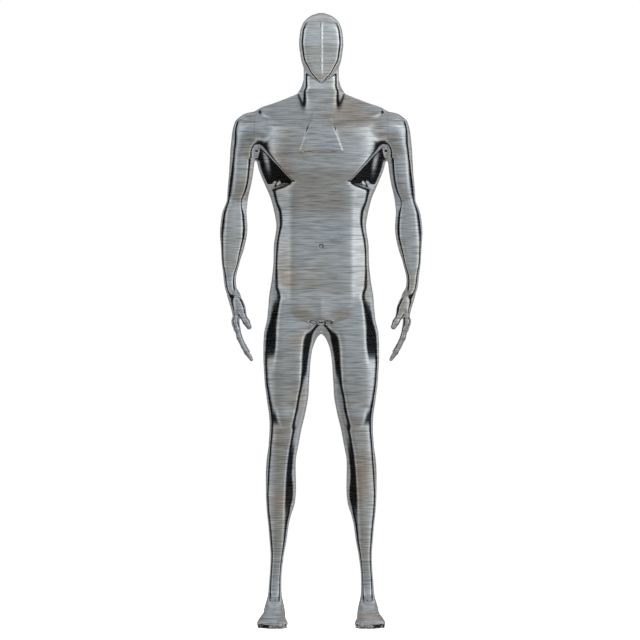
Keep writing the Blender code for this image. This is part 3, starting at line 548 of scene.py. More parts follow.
@dataclass(frozen=True)
class Figure:
    """The whole body as one solid; |x| stands for both sides.

    A plane is a point in millimetres and a normal, a fade is a level and the run over which
    it comes in, and a fillet is its reach. All but the planes' points are in metres.
    """

    rib_plane: tuple = ((116, -64, 1380), (0.74, -0.67, -0.08))
    slab_plane: tuple = ((107, 0, 1383), (0.736, 0.0, -0.677))
    chest_slope: tuple = ((75, -62, 1560), (0.10, -0.72, 0.685))
    rib_end: tuple = (1.355, 0.05)
    rib_drop: float = 0.05
    rib_fillet: float = 0.008
    slope_from: float = 1.40
    throat_from: float = 1.45
    throat_middle: float = 1.60
    throat_half: float = 0.016
    throat_spread: float = 0.34
    throat_face: tuple = (-0.078, 0.951, 1.56)
    throat_tilt: tuple = (0.71, 0.72)
    throat_back: float = 0.03
    throat_rise: float = 0.004
    throat_fillets: tuple = (0.004, 0.01, 0.003)
    neck_fillet: float = 0.026
    edge_fillet: float = 0.006
    plane_fillet: float = 0.010
    facet_drop: float = 0.1
    facet_top: tuple = (1.36, 0.05)
    flank_foot: tuple = (0.97, 0.06)
    belly_edge: float = 0.083
    belly_levels: tuple = (0.9, 0.98, 1.34, 1.40)
    belly_turns: tuple = (4.0, 30.0, 31.0, 4.0)
    leg_fillet: float = 0.012
    foot_power: float = 2.2
    arm_drop: float = 0.05
    outer_ends: tuple = ((1.10, 0.03), (1.55, 0.02))
    inner_ends: tuple = ((1.20, 0.10), (1.43, 0.04))
    inner_fillet: float = 0.005
    keel_height: float = 0.0036
    keel_right: float = 0.0042
    keel_left: float = 0.0060
    keel_start: tuple = (0.01, 0.05)
    keel_top: tuple = (1.868, 0.03)
    keel_bottom: tuple = (1.672, 0.02)
    ankle_joint: float = 0.022
    leg_joint: float = 0.014
    arm_joint: float = 0.016
    hand_joint: float = 0.010
    rod_fillet: float = 0.004
    finger_fillet: float = 0.003
    web_fillet: float = 0.002
    toe_fillet: float = 0.005
    head_joint: float = 0.014

    def trunk(self, x: Array, y: Array, z: Array) -> Array:
        """Return distances to the torso.

        The loft is cut three ways: by a slanting plane on each side of the ribs, by a bevel
        down each side of the belly, and by the slope from the neck and shoulders to the
        chest. The chest slab keeps its full width over the rib cut, down to a slanting edge
        from the armpit to the lower rib, so that it overhangs there.

        Args:
            x: Positions across.
            y: Positions along the depth.
            z: Levels.

        Returns:
            Distances, negative inside.
        """
        side = np.abs(x)
        loft = TRUNK_LOFT.distance(side, y, z)
        rib_cut = plane(side, y, z, *self.rib_plane) - self.rib_drop * below(z, *self.rib_end)
        ribs = soft_common(loft, rib_cut, self.rib_fillet)
        slab = soft_common(loft, plane(side, y, z, *self.slab_plane), self.edge_fillet)
        body = soft_common(np.minimum(ribs, slab), self.belly(side, y, z), self.plane_fillet)
        slope = plane(side, y, z, *self.chest_slope)
        body = np.where(z > self.slope_from, soft_common(body, slope, self.plane_fillet), body)
        body = soft_union(body, NECK_LOFT.distance(side, y, z), self.neck_fillet)
        wedge = soft_common(self.throat(side, y, z), loft - self.throat_rise, self.edge_fillet)
        wedge = np.maximum(wedge, self.throat_from - z)
        joined = soft_union(body, wedge, self.throat_fillets[2])
        return np.where(z > self.throat_from, joined, body)

    def belly(self, side: Array, y: Array, z: Array) -> Array:
        """Return distances to the two facets down each side of the belly.

        The inner facet turns away from the front along the belly's edge, and the outer one
        turns further along the flank's edge. Both draw back above the ribs, and the outer
        one at the hip as well.

        Args:
            side: Positions out from the middle.
            y: Positions along the depth.
            z: Levels.

        Returns:
            Distances, negative inside.
        """
        gone = self.facet_drop * above(z, *self.facet_top)
        bevel = BELLY.cut(side, y, z, TRUNK_LOFT.front_at)
        fold = Curve(np.array(self.belly_levels), np.tan(np.radians(self.belly_turns)))

        def bevelled(edge: Array, level: Array) -> Array:
            """Return the depth of the inner facet, as a surface for the outer one to cut."""
            run = edge - self.belly_edge
            return TRUNK_LOFT.front_at(self.belly_edge, level) + run * fold(level)

        flank = FLANK.cut(side, y, z, bevelled) - gone
        flank = flank - self.facet_drop * below(z, *self.flank_foot)
        return soft_common(bevel - gone, flank, self.edge_fillet)

    def throat(self, side: Array, y: Array, z: Array) -> Array:
        """Return distances to the wedge of the neck's front, which widens down to the chest.

        Its front is a plane that leans back upward, its sides are planes whose half width
        grows with the depth under throat_middle, and its back lies inside the neck.

        Args:
            side: Positions out from the middle.
            y: Positions along the depth.
            z: Levels.

        Returns:
            Distances, negative inside.
        """
        half = self.throat_half + self.throat_spread * np.maximum(self.throat_middle - z, 0.0)
        depth, lean, level = self.throat_face
        across, along = self.throat_tilt
        bevel = (side - half) * across
        face = (depth + lean * (z - level) - (y - PLUMB_Y)) * along
        wedge = soft_common(bevel, face, self.throat_fillets[0])
        return soft_common(wedge, (y - PLUMB_Y) + self.throat_back, self.throat_fillets[1])

    def leg(self, x: Array, y: Array, z: Array) -> Array:
        """Return distances to the legs: their loft, cut by its facets.

        Args:
            x: Positions across.
            y: Positions along the depth.
            z: Levels.

        Returns:
            Distances, negative inside.
        """
        side = np.abs(x)
        body = LEG_LOFT.distance(side, y, z)
        for facet in LEG_FACETS:
            body = soft_common(body, facet.cut(side, y, z, LEG_LOFT.front_at), self.leg_fillet)
        return body

    def foot(self, x: Array, y: Array, z: Array) -> Array:
        """Return distances to the feet: sections across the foot, with toes in front.

        A section's value is r times (1 - 1 / rho), as a limb's is, with rho its superellipse
        radius; past the first and last section the distance along the foot is added.

        Args:
            x: Positions across.
            y: Positions along the depth.
            z: Levels.

        Returns:
            Distances, negative inside.
        """
        side = np.abs(x)
        table = np.array(FOOT, float) * MM
        mid, half, top = (Curve(table[:, 0], table[:, i]) for i in (1, 2, 3))
        along = y - PLUMB_Y
        dx, dz = side - mid(along), z - FOOT_MIDDLE_MM * MM
        reach = np.where(dz > 0.0, top(along), FOOT_UNDER_MM * MM)
        power = self.foot_power
        rho = ((np.abs(dx) / half(along)) ** power + (np.abs(dz) / reach) ** power) ** (1 / power)
        rho = np.maximum(rho, LEAST_RHO)
        low, high = table[:, 0].min(), table[:, 0].max()
        beyond = np.maximum(np.maximum(along - high, low - along), 0.0)
        sole = np.sqrt(dx * dx + dz * dz) * (1.0 - 1.0 / rho) + beyond
        for x1, y1, r1, x2, y2, r2 in TOES:
            path = ((x1, y1, r1 + 1.0), ((x1 + x2) / 2, (y1 + y2) / 2, r1 + 0.5), (x2, y2, r2 - 1.0))
            radii = (r1, (r1 + r2) / 2 - 0.5, r2)
            toe = capsule_chain(side, y, z, path, radii, self.rod_fillet)
            sole = soft_union(sole, toe, self.toe_fillet)
        return sole

    def arm(self, x: Array, y: Array, z: Array) -> Array:
        """Return distances to the arms and palms: their loft, cut by its two facets.

        Args:
            x: Positions across.
            y: Positions along the depth.
            z: Levels.

        Returns:
            Distances, negative inside.
        """
        side = np.abs(x)
        body = ARM_LOFT.distance(side, y, z)
        outer, inner = (facet.cut(side, y, z, ARM_LOFT.front_at) for facet in ARM_FACETS)
        low, high = self.outer_ends
        outer = outer - self.arm_drop * (below(z, *low) + above(z, *high))
        low, high = self.inner_ends
        inner = inner - self.arm_drop * (below(z, *low) + above(z, *high))
        body = soft_common(body, outer, self.edge_fillet)
        return soft_common(body, inner, self.inner_fillet)

    def fingers(self, x: Array, y: Array, z: Array) -> Array:
        """Return distances to the fingers and thumbs.

        Every finger follows the same path, shortened by its share and thinning from knuckle
        to tip, with a bulge at each joint.

        Args:
            x: Positions across.
            y: Positions along the depth.
            z: Levels.

        Returns:
            Distances, negative inside.
        """
        side = np.abs(x)
        whole = capsule_chain(side, y, z, THUMB_PATH, THUMB_RADII, self.rod_fillet)
        top_x, top_z = FINGER_PATH[0]
        along = np.linspace(0.0, 1.0, len(FINGER_PATH))
        for at_y, share, knuckle, tip in FINGERS.values():
            path = [(top_x + (px - top_x) * share, at_y, top_z + (pz - top_z) * share)
                    for px, pz in FINGER_PATH]
            radii = [(knuckle + (tip - knuckle) * step) * bulge
                     for step, bulge in zip(along, FINGER_BULGE)]
            finger = capsule_chain(side, y, z, path, radii, self.finger_fillet)
            whole = soft_union(whole, finger, self.web_fillet)
        return whole

    def head(self, x: Array, y: Array, z: Array) -> Array:
        """Return distances to the head: an egg whose face folds along a middle crease.

        The crease is a ridge, highest on the middle plane and steeper on the right side. It
        fades out behind the face and at its upper and lower ends.

        Args:
            x: Positions across.
            y: Positions along the depth.
            z: Levels.

        Returns:
            Distances, negative inside.
        """
        egg = HEAD_LOFT.distance(np.abs(x), y, z)
        keel = np.where(x < 0.0, -x / self.keel_right, x / self.keel_left)
        keel = np.maximum(0.0, 1.0 - keel)
        facing = above(-(y - PLUMB_Y), *self.keel_start)
        facing = facing * below(z, *self.keel_top) * above(z, *self.keel_bottom)
        return egg - self.keel_height * keel * facing

    def everything(self, x: Array, y: Array, z: Array, parts: tuple) -> Array:
        """Return distances to the named parts of the body, joined, with their lobes.

        Args:
            x: Positions across.
            y: Positions along the depth.
            z: Levels.
            parts: Which of trunk, crotch, leg, arm, hand and head are in reach.

        Returns:
            Distances, negative inside.
        """
        limbs = (("leg", self.whole_leg, self.leg_joint), ("arm", self.arm, self.arm_joint),
                 ("hand", self.fingers, self.hand_joint), ("head", self.head, self.head_joint))
        body = self.trunk(x, y, z) if "trunk" in parts else None
        for part, shape, joint in limbs:
            if part in parts:
                limb = shape(x, y, z)
                body = limb if body is None else soft_union(body, limb, joint)
        body = np.array(body)
        side = np.abs(x)
        for part in (name for name in LOBES if name in parts):
            for lobe in LOBES[part]:
                lobe.shape(body, side, y, z)
        return body

    def whole_leg(self, x: Array, y: Array, z: Array) -> Array:
        """Return distances to the legs with their feet."""
        return soft_union(self.leg(x, y, z), self.foot(x, y, z), self.ankle_joint)


def net_surface(distance: Solid, axes: "list[Array]") -> "tuple[Array, Array]":
    """Skin the zero level of a function over a block of cells (surface nets).

    Every cell that the level passes through gets one point, the mean of where the level
    crosses the cell's edges. Every grid edge that the level crosses joins the points of the
    four cells round it with a quad. The points are then moved onto the level along its slope.

    Args:
        distance: The function of x, y and z, negative inside.
        axes: The grid's positions along X, Y and Z.

    Returns:
        The points, and the quads as rows of four point numbers that face outward.
    """
    gx, gy, gz = axes
    value = distance(gx[:, None, None], gy[None, :, None], gz[None, None, :])
    inside = value < 0.0
    nx, ny, nz = (len(a) - 1 for a in axes)
    corners = [(i, j, k) for i in (0, 1) for j in (0, 1) for k in (0, 1)]
    count = sum(inside[i:i + nx, j:j + ny, k:k + nz].astype(np.int8) for i, j, k in corners)
    cells = np.argwhere((count > 0) & (count < 8))
    number = np.full((nx, ny, nz), -1, np.int64)
    number[tuple(cells.T)] = np.arange(len(cells))
    total, hits = np.zeros((len(cells), 3)), np.zeros((len(cells), 1))
    places = [gx, gy, gz]
    for first in corners:
        for axis in range(3):
            if first[axis]:
                continue
            second = tuple(c + (a == axis) for a, c in enumerate(first))
            at_first, at_second = cells + first, cells + second
            v1, v2 = value[tuple(at_first.T)], value[tuple(at_second.T)]
            crossed = ((v1 < 0.0) != (v2 < 0.0))[:, None]
            t = (v1 / np.where(v1 == v2, 1.0, v1 - v2))[:, None]
            p1 = np.column_stack([places[a][at_first[:, a]] for a in range(3)])
            p2 = np.column_stack([places[a][at_second[:, a]] for a in range(3)])
            total += np.where(crossed, p1 + (p2 - p1) * t, 0.0)
            hits += crossed
    points = total / hits
    quads = []
    for axis in range(3):
        low = [slice(1, n) for n in (nx, ny, nz)]
        high = list(low)
        low[axis] = slice(0, (nx, ny, nz)[axis])
        high[axis] = slice(1, (nx, ny, nz)[axis] + 1)
        here, there = inside[tuple(low)], inside[tuple(high)]
        found = np.argwhere(here != there)
        offset = [1, 1, 1]
        offset[axis] = 0
        base = found + offset
        b, c = (axis + 1) % 3, (axis + 2) % 3
        ring = []
        for step_b, step_c in ((-1, -1), (0, -1), (0, 0), (-1, 0)):
            cell = base.copy()
            cell[:, b] += step_b
            cell[:, c] += step_c
            ring.append(number[tuple(cell.T)])
        quad = np.column_stack(ring)
        leaving = here[tuple(found.T)]
        quad[~leaving] = quad[~leaving][:, ::-1]
        quads.append(quad)
    quads = np.vstack(quads)
    return settle(distance, points), quads[(quads >= 0).all(axis=1)]


def settle(distance: Solid, points: Array, rounds: int = 3) -> Array:
    """Move points onto the zero level along its slope, by value over squared slope.

    Args:
        distance: The function of x, y and z.
        points: The points, one a row.
        rounds: How often they are moved.

    Returns:
        The moved points.
    """
    h = 2e-4                 # half the span that a slope is measured over
    least_square = 0.05      # a flatter slope than this isn't followed in full
    longest_move = 0.002
    for _ in range(rounds):
        x, y, z = points.T
        value = distance(x, y, z)
        slope = np.column_stack([
            (distance(x + h, y, z) - distance(x - h, y, z)) / (2 * h),
            (distance(x, y + h, z) - distance(x, y - h, z)) / (2 * h),
            (distance(x, y, z + h) - distance(x, y, z - h)) / (2 * h)])
        square = np.maximum((slope ** 2).sum(axis=1), least_square)
        move = slope * (value / square)[:, None]
        length = np.linalg.norm(move, axis=1, keepdims=True)
        points = points - move * np.minimum(1.0, longest_move / np.maximum(length, 1e-12))
    return points


@dataclass(frozen=True)
class Cut:
    """A plane that a skin ends at, and the rim it gets there.

    The skin keeps the side that the normal points away from. The rim turns in by inset and
    back by depth, and a floor closes it; with no inset the cut is closed flat.
    """

    point: tuple
    normal: tuple
    inset: float = 0.0035
    depth: float = 0.009
    only_left: bool = False

    def trim(self, bm: bmesh.types.BMesh) -> None:
        """Cut the mesh at the plane and close it with the rim.

        Args:
            bm: The skin's mesh, changed in place.
        """
        point, normal = Vector(self.point), Vector(self.normal).normalized()
        bm.normal_update()
        faces = bm.faces[:]
        if self.only_left:
            faces = [f for f in faces if f.calc_center_median().x > 0.0]
        geometry = {g for f in faces for g in (f, *f.verts, *f.edges)}
        bmesh.ops.bisect_plane(bm, geom=list(geometry), dist=CUT_SNAP,
                               plane_co=point, plane_no=normal, clear_outer=True)
        bm.normal_update()
        rim = [e for e in bm.edges if e.is_boundary
               and all(abs((v.co - point).dot(normal)) < ON_CUT for v in e.verts)]
        if not rim:
            return
        if self.inset:
            inward = {}
            for edge in rim:
                for v in edge.verts:
                    flat = v.normal - normal * v.normal.dot(normal)
                    inward[tuple(v.co)] = -flat.normalized() * self.inset
            for shift in ("inset", "depth"):
                made = bmesh.ops.extrude_edge_only(bm, edges=rim)["geom"]
                for v in (g for g in made if isinstance(g, bmesh.types.BMVert)):
                    v.co += inward[tuple(v.co)] if shift == "inset" else -normal * self.depth
                rim = [g for g in made if isinstance(g, bmesh.types.BMEdge) and g.is_boundary]
        filled = bmesh.ops.holes_fill(bm, edges=rim, sides=0)["faces"]
        bmesh.ops.triangulate(bm, faces=filled)


def steps(low: float, high: float, step: float) -> Array:
    """Return evenly spaced positions that cover a span."""
    return low + step * np.arange(int(math.ceil((high - low) / step)) + 1)


@dataclass
class Skin:
    """One shell's visible skin: where it lies, which parts shape it, and where it is cut."""

    name: str
    body: str
    node: str
    parts: tuple
    low: tuple
    high: tuple
    cell: tuple
    cuts: tuple
    mirror: bool = False
    keep: "Solid | None" = None
    figure: Figure = field(default_factory=Figure)

    def build(self) -> "list[bpy.types.Object]":
        """Mesh the skin, trim it at its cuts, and mirror it for the other side where asked.

        Returns:
            The skin, and its right-hand copy if it has one.
        """
        coarse = 1.0
        axes = [steps(a, b, c * coarse) for a, b, c in zip(self.low, self.high, self.cell)]

        def distance(x: Array, y: Array, z: Array) -> Array:
            """Return distances to the skin's part of the body, within its room."""
            value = self.figure.everything(x, y, z, self.parts)
            return value if self.keep is None else np.maximum(value, self.keep(x, y, z))

        points, quads = net_surface(distance, axes)
        mesh = bpy.data.meshes.new(self.name)
        mesh.from_pydata(points.tolist(), [], quads.tolist())
        bm = bmesh.new()
        bm.from_mesh(mesh)
        for cut in self.cuts:
            cut.trim(bm)
        bm.to_mesh(mesh)
        bm.free()
        made = [self.place(self.name, mesh, self.body, self.node)]
        if self.mirror:
            made.append(self.twin(mesh))
        return made

    def twin(self, mesh: bpy.types.Mesh) -> bpy.types.Object:
        """Return the right-hand copy of a left-hand skin.

        Args:
            mesh: The left-hand skin's mesh.

        Returns:
            The copy, mirrored across the middle plane.
        """
        other = mesh.copy()
        at = np.empty(len(other.vertices) * 3)
        other.vertices.foreach_get("co", at)
        at = at.reshape(-1, 3) * (-1.0, 1.0, 1.0)
        other.vertices.foreach_set("co", at.ravel())
        other.flip_normals()
        names = [text.replace("left", "right") for text in (self.name, self.body, self.node)]
        return self.place(names[0], other, names[1], names[2])

    def place(self, name: str, mesh: bpy.types.Mesh, body: str, node: str) -> bpy.types.Object:
        """Link a skin into the scene, hang it on the body that it rides on, and hide the CAD piece
        that it replaces.

        Args:
            name: The skin's name.
            mesh: Its mesh.
            body: The body that it rides on.
            node: The CAD piece that it replaces.

        Returns:
            The skin's object.
        """
        mesh.name = name
        mesh.shade_smooth()
        mesh.set_sharp_from_angle(angle=SHARP_ANGLE)
        piece = bpy.data.objects.new(name, mesh)
        bpy.context.scene.collection.objects.link(piece)
        piece.visible_glossy = False    # the metal mirrors the room only, not itself
        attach(piece, body)
        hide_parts(node)
        LOG.info("%s: %d faces on %s", name, len(mesh.polygons), body)
        return piece


def mapped(tree: Tree, source: Socket, given: tuple = (0.0, 1.0), wanted: tuple = (0.0, 1.0),
           curve: str = "LINEAR") -> Socket:
    """Map the span of a value onto another span.

    Args:
        tree: The node tree.
        source: The value's socket.
        given: The low and high of the value.
        wanted: What those two become.
        curve: How the values between them run.

    Returns:
        The socket of the mapped value.
    """
    node = tree.nodes.new("ShaderNodeMapRange")
    node.interpolation_type = curve
    for name, value in zip(("From Min", "From Max", "To Min", "To Max"), (*given, *wanted)):
        node.inputs[name].default_value = value
    tree.links.new(source, node.inputs["Value"])
    return node.outputs["Result"]


def coloured(tree: Tree, source: Socket, stops: tuple) -> Socket:
    """Turn a value into a colour through a ramp.

    Args:
        tree: The node tree.
        source: The value's socket.
        stops: Position and colour of each stop, in order.

    Returns:
        The socket of the colour.
    """
    node = tree.nodes.new("ShaderNodeValToRGB")
    ramp = node.color_ramp
    while len(ramp.elements) < len(stops):
        ramp.elements.new(0.5)
    for element, (position, colour) in zip(ramp.elements, stops):
        element.position = position
        element.color = (*colour, 1.0)
    tree.links.new(source, node.inputs["Fac"])
    return node.outputs["Color"]


def noise(tree: Tree, coords: Socket, scale: tuple, detail: float) -> Socket:
    """Add a noise whose pattern is stretched by scale along each axis.

    Args:
        tree: The node tree.
        coords: The socket of the coordinates.
        scale: Waves per metre along X, Y and Z.
        detail: How many finer layers are added.

    Returns:
        The socket of the noise, about 0.5 in the middle.
    """
    stretch = tree.nodes.new("ShaderNodeMapping")
    stretch.inputs["Scale"].default_value = scale
    made = tree.nodes.new("ShaderNodeTexNoise")
    made.inputs["Scale"].default_value = 1.0
    made.inputs["Detail"].default_value = detail
    tree.links.new(coords, stretch.inputs["Vector"])
    tree.links.new(stretch.outputs["Vector"], made.inputs["Vector"])
    return made.outputs["Fac"]


def relief(tree: Tree, layers: tuple) -> Socket:
    """Stack bumps, each on the normal of the one before it.

    Args:
        tree: The node tree.
        layers: Height socket and height in metres of each bump, the broadest first.

    Returns:
        The socket of the last bump's normal.
    """
    normal = None
    for height, distance in layers:
        bump = tree.nodes.new("ShaderNodeBump")
        bump.inputs["Distance"].default_value = distance
        tree.links.new(height, bump.inputs["Height"])
        if normal is not None:
            tree.links.new(normal, bump.inputs["Normal"])
        normal = bump.outputs["Normal"]
    return normal


def scaled(tree: Tree, vector: Socket, scale: Socket) -> Socket:
    """Return the socket of a colour or vector multiplied by a value."""
    node = tree.nodes.new("ShaderNodeVectorMath")
    node.operation = "SCALE"
    tree.links.new(vector, node.inputs["Vector"])
    tree.links.new(scale, node.inputs["Scale"])
    return node.outputs["Vector"]


def start_material(name: str, metallic: float) -> "tuple[bpy.types.Material, Tree, Socket]":
    """Start a material.

    Args:
        name: Its name.
        metallic: 1 for bare metal, 0 for anything else.

    Returns:
        The material, its node tree, and the socket of the Object coordinates.
    """
    made = bpy.data.materials.new(name)
    made.use_nodes = True
    tree = made.node_tree
    tree.nodes[SHADER].inputs["Metallic"].default_value = metallic
    return made, tree, tree.nodes.new("ShaderNodeTexCoord").outputs["Object"]


def finish_material(tree: Tree, colour: Socket, rough: Socket, normal: Socket) -> None:
    """Link the colour, roughness and normal into the material's shader."""
    for name, socket in (("Base Color", colour), ("Roughness", rough), ("Normal", normal)):
        tree.links.new(socket, tree.nodes[SHADER].inputs[name])


@dataclass(frozen=True)
class Finish:
    """A surface finish: colour, metal, roughness, and the noise that breaks them up."""

    name: str
    colour: tuple
    metallic: float
    roughness: float
    grain: tuple
    contrast: float
    bump: float
    detail: float = 3.0
    stops: tuple = (0.3, 0.7)
    rough_share: tuple = (0.8, 1.2)

    def material(self) -> bpy.types.Material:
        """Return the finish as a material.

        One noise runs the colour from darker to lighter by the contrast, the roughness
        between its two shares, and the relief.

        Returns:
            The material, on Object coordinates.
        """
        made, tree, coords = start_material(self.name, self.metallic)
        grain = noise(tree, coords, self.grain, self.detail)
        dark = tuple(c * (1.0 - self.contrast) for c in self.colour)
        light = tuple(min(1.0, c * (1.0 + self.contrast)) for c in self.colour)
        colour = coloured(tree, grain, tuple(zip(self.stops, (dark, light))))
        smooth, coarse = (self.roughness * share for share in self.rough_share)
        rough = mapped(tree, grain, wanted=(smooth, min(1.0, coarse)))
        finish_material(tree, colour, rough, relief(tree, ((grain, self.bump),)))
        return made


@dataclass(frozen=True)
class BrushedSkin:
    """The hand-brushed metal of the shells: cool, with streaks, dents and warm worn patches."""

    streak_scale: tuple = (15.0, 15.0, 420.0)
    fine_scale: tuple = (26.0, 26.0, 640.0)
    dent_scale: float = 13.0
    patch_scale: float = 5.5
    streak_detail: float = 4.0
    fine_detail: float = 2.0
    dent_detail: float = 1.0
    patch_detail: float = 3.0
    streak_height: float = 0.00013
    fine_height: float = 0.00002
    dent_height: float = 0.0022
    roughness: float = 0.16
    smoother: float = 0.05
    rougher: float = 0.06
    streak_span: tuple = (0.34, 0.56)
    streak_tone: tuple = (0.60, 1.14)
    fine_span: tuple = (0.30, 0.70)
    fine_tone: tuple = (0.76, 1.14)
    patch_tones: tuple = ((0.36, (0.62, 0.665, 0.70)), (0.54, (0.64, 0.66, 0.67)),
                          (0.68, (0.60, 0.54, 0.48)))
    brightness: float = 1.0
    title: str = "brushed_metal_skin"

    def material(self) -> bpy.types.Material:
        """Return the skin's material.

        The colour is that of the patches, multiplied by the tone of the streaks and by that
        of the fine scratches. The streaks also vary the roughness.

        Returns:
            The material, on Object coordinates.
        """
        made, tree, coords = start_material(self.title, 1.0)
        streaks = noise(tree, coords, self.streak_scale, self.streak_detail)
        fine = noise(tree, coords, self.fine_scale, self.fine_detail)
        dents = noise(tree, coords, (self.dent_scale,) * 3, self.dent_detail)
        patches = noise(tree, coords, (self.patch_scale,) * 3, self.patch_detail)

        lit_tone = tuple(tone * self.brightness for tone in self.streak_tone)
        both = tree.nodes.new("ShaderNodeMath")
        both.operation = "MULTIPLY"
        tree.links.new(mapped(tree, streaks, self.streak_span, lit_tone), both.inputs[0])
        tree.links.new(mapped(tree, fine, self.fine_span, self.fine_tone), both.inputs[1])
        colour = scaled(tree, coloured(tree, patches, self.patch_tones), both.outputs["Value"])

        span = (self.roughness - self.smoother, self.roughness + self.rougher)
        layers = ((dents, self.dent_height), (streaks, self.streak_height), (fine, self.fine_height))
        finish_material(tree, colour, mapped(tree, streaks, wanted=span), relief(tree, layers))
        return made


class Hardware(Enum):
    """The finishes of the pieces inside the shells, by their slot in the record."""

    ZINC = Finish("zinc_plate", (0.56, 0.57, 0.58), 1.0, 0.35, (300.0, 300.0, 300.0), 0.08, 0.00002)
    BOARD = Finish("fibreboard", (0.30, 0.22, 0.14), 0.0, 0.75, (220.0, 220.0, 220.0), 0.25, 0.0001)
    RUBBER = Finish("washer_rubber", (0.03, 0.03, 0.03), 0.0, 0.85, (90.0, 90.0, 90.0), 0.2, 0.00005)
    SCREW = Finish("black_screw", (0.06, 0.06, 0.07), 1.0, 0.45, (400.0, 400.0, 400.0), 0.15, 0.00002)


SLOT_FINISH = {"zinc_steel": Hardware.ZINC, "bulkhead_board": Hardware.BOARD,
               "friction_rubber": Hardware.RUBBER, "black_screw": Hardware.SCREW}


class Fittings:
    """The CAD pieces inside the shells, which keep their shapes and get their finishes."""

    def dress(self) -> None:
        """Put each piece's finish into its material slot."""
        made = {slot: choice.value.material() for slot, choice in SLOT_FINISH.items()}
        for part in frame["record"]["subparts"]:
            material = made.get(part["material_slot"])
            if material is None:
                continue
            piece = frame["nodes"][part["node"]]
            piece.data.materials.clear()
            piece.data.materials.append(material)
            LOG.info("%s: %s", part["node"], material.name)


# What the metal mirrors at each direction along Y, from -1 at the camera's side to +1 behind
# the figure: one list for the upper half of the room and one for the lower.
UPPER_ROOM = (
    (-1.0, (0.44, 0.465, 0.48)), (-0.74, (0.44, 0.465, 0.48)), (-0.56, (0.62, 0.65, 0.66)),
    (-0.42, (0.90, 0.92, 0.93)), (-0.24, (0.64, 0.65, 0.66)), (-0.13, (0.006, 0.007, 0.008)),
    (0.33, (0.004, 0.005, 0.006)), (0.44, (0.50, 0.51, 0.52)), (0.64, (0.60, 0.61, 0.62)),
    (0.88, (0.30, 0.30, 0.30)), (1.0, (0.28, 0.28, 0.28)),
)
LOWER_ROOM = (
    (-1.0, (0.32, 0.305, 0.28)), (-0.74, (0.32, 0.305, 0.28)), (-0.56, (0.42, 0.41, 0.39)),
    (-0.42, (0.60, 0.59, 0.57)), (-0.28, (0.38, 0.38, 0.38)), (-0.19, (0.01, 0.01, 0.01)),
    (0.32, (0.01, 0.01, 0.01)), (0.46, (0.40, 0.40, 0.40)), (0.64, (0.45, 0.45, 0.45)),
    (1.0, (0.24, 0.24, 0.24)),
)


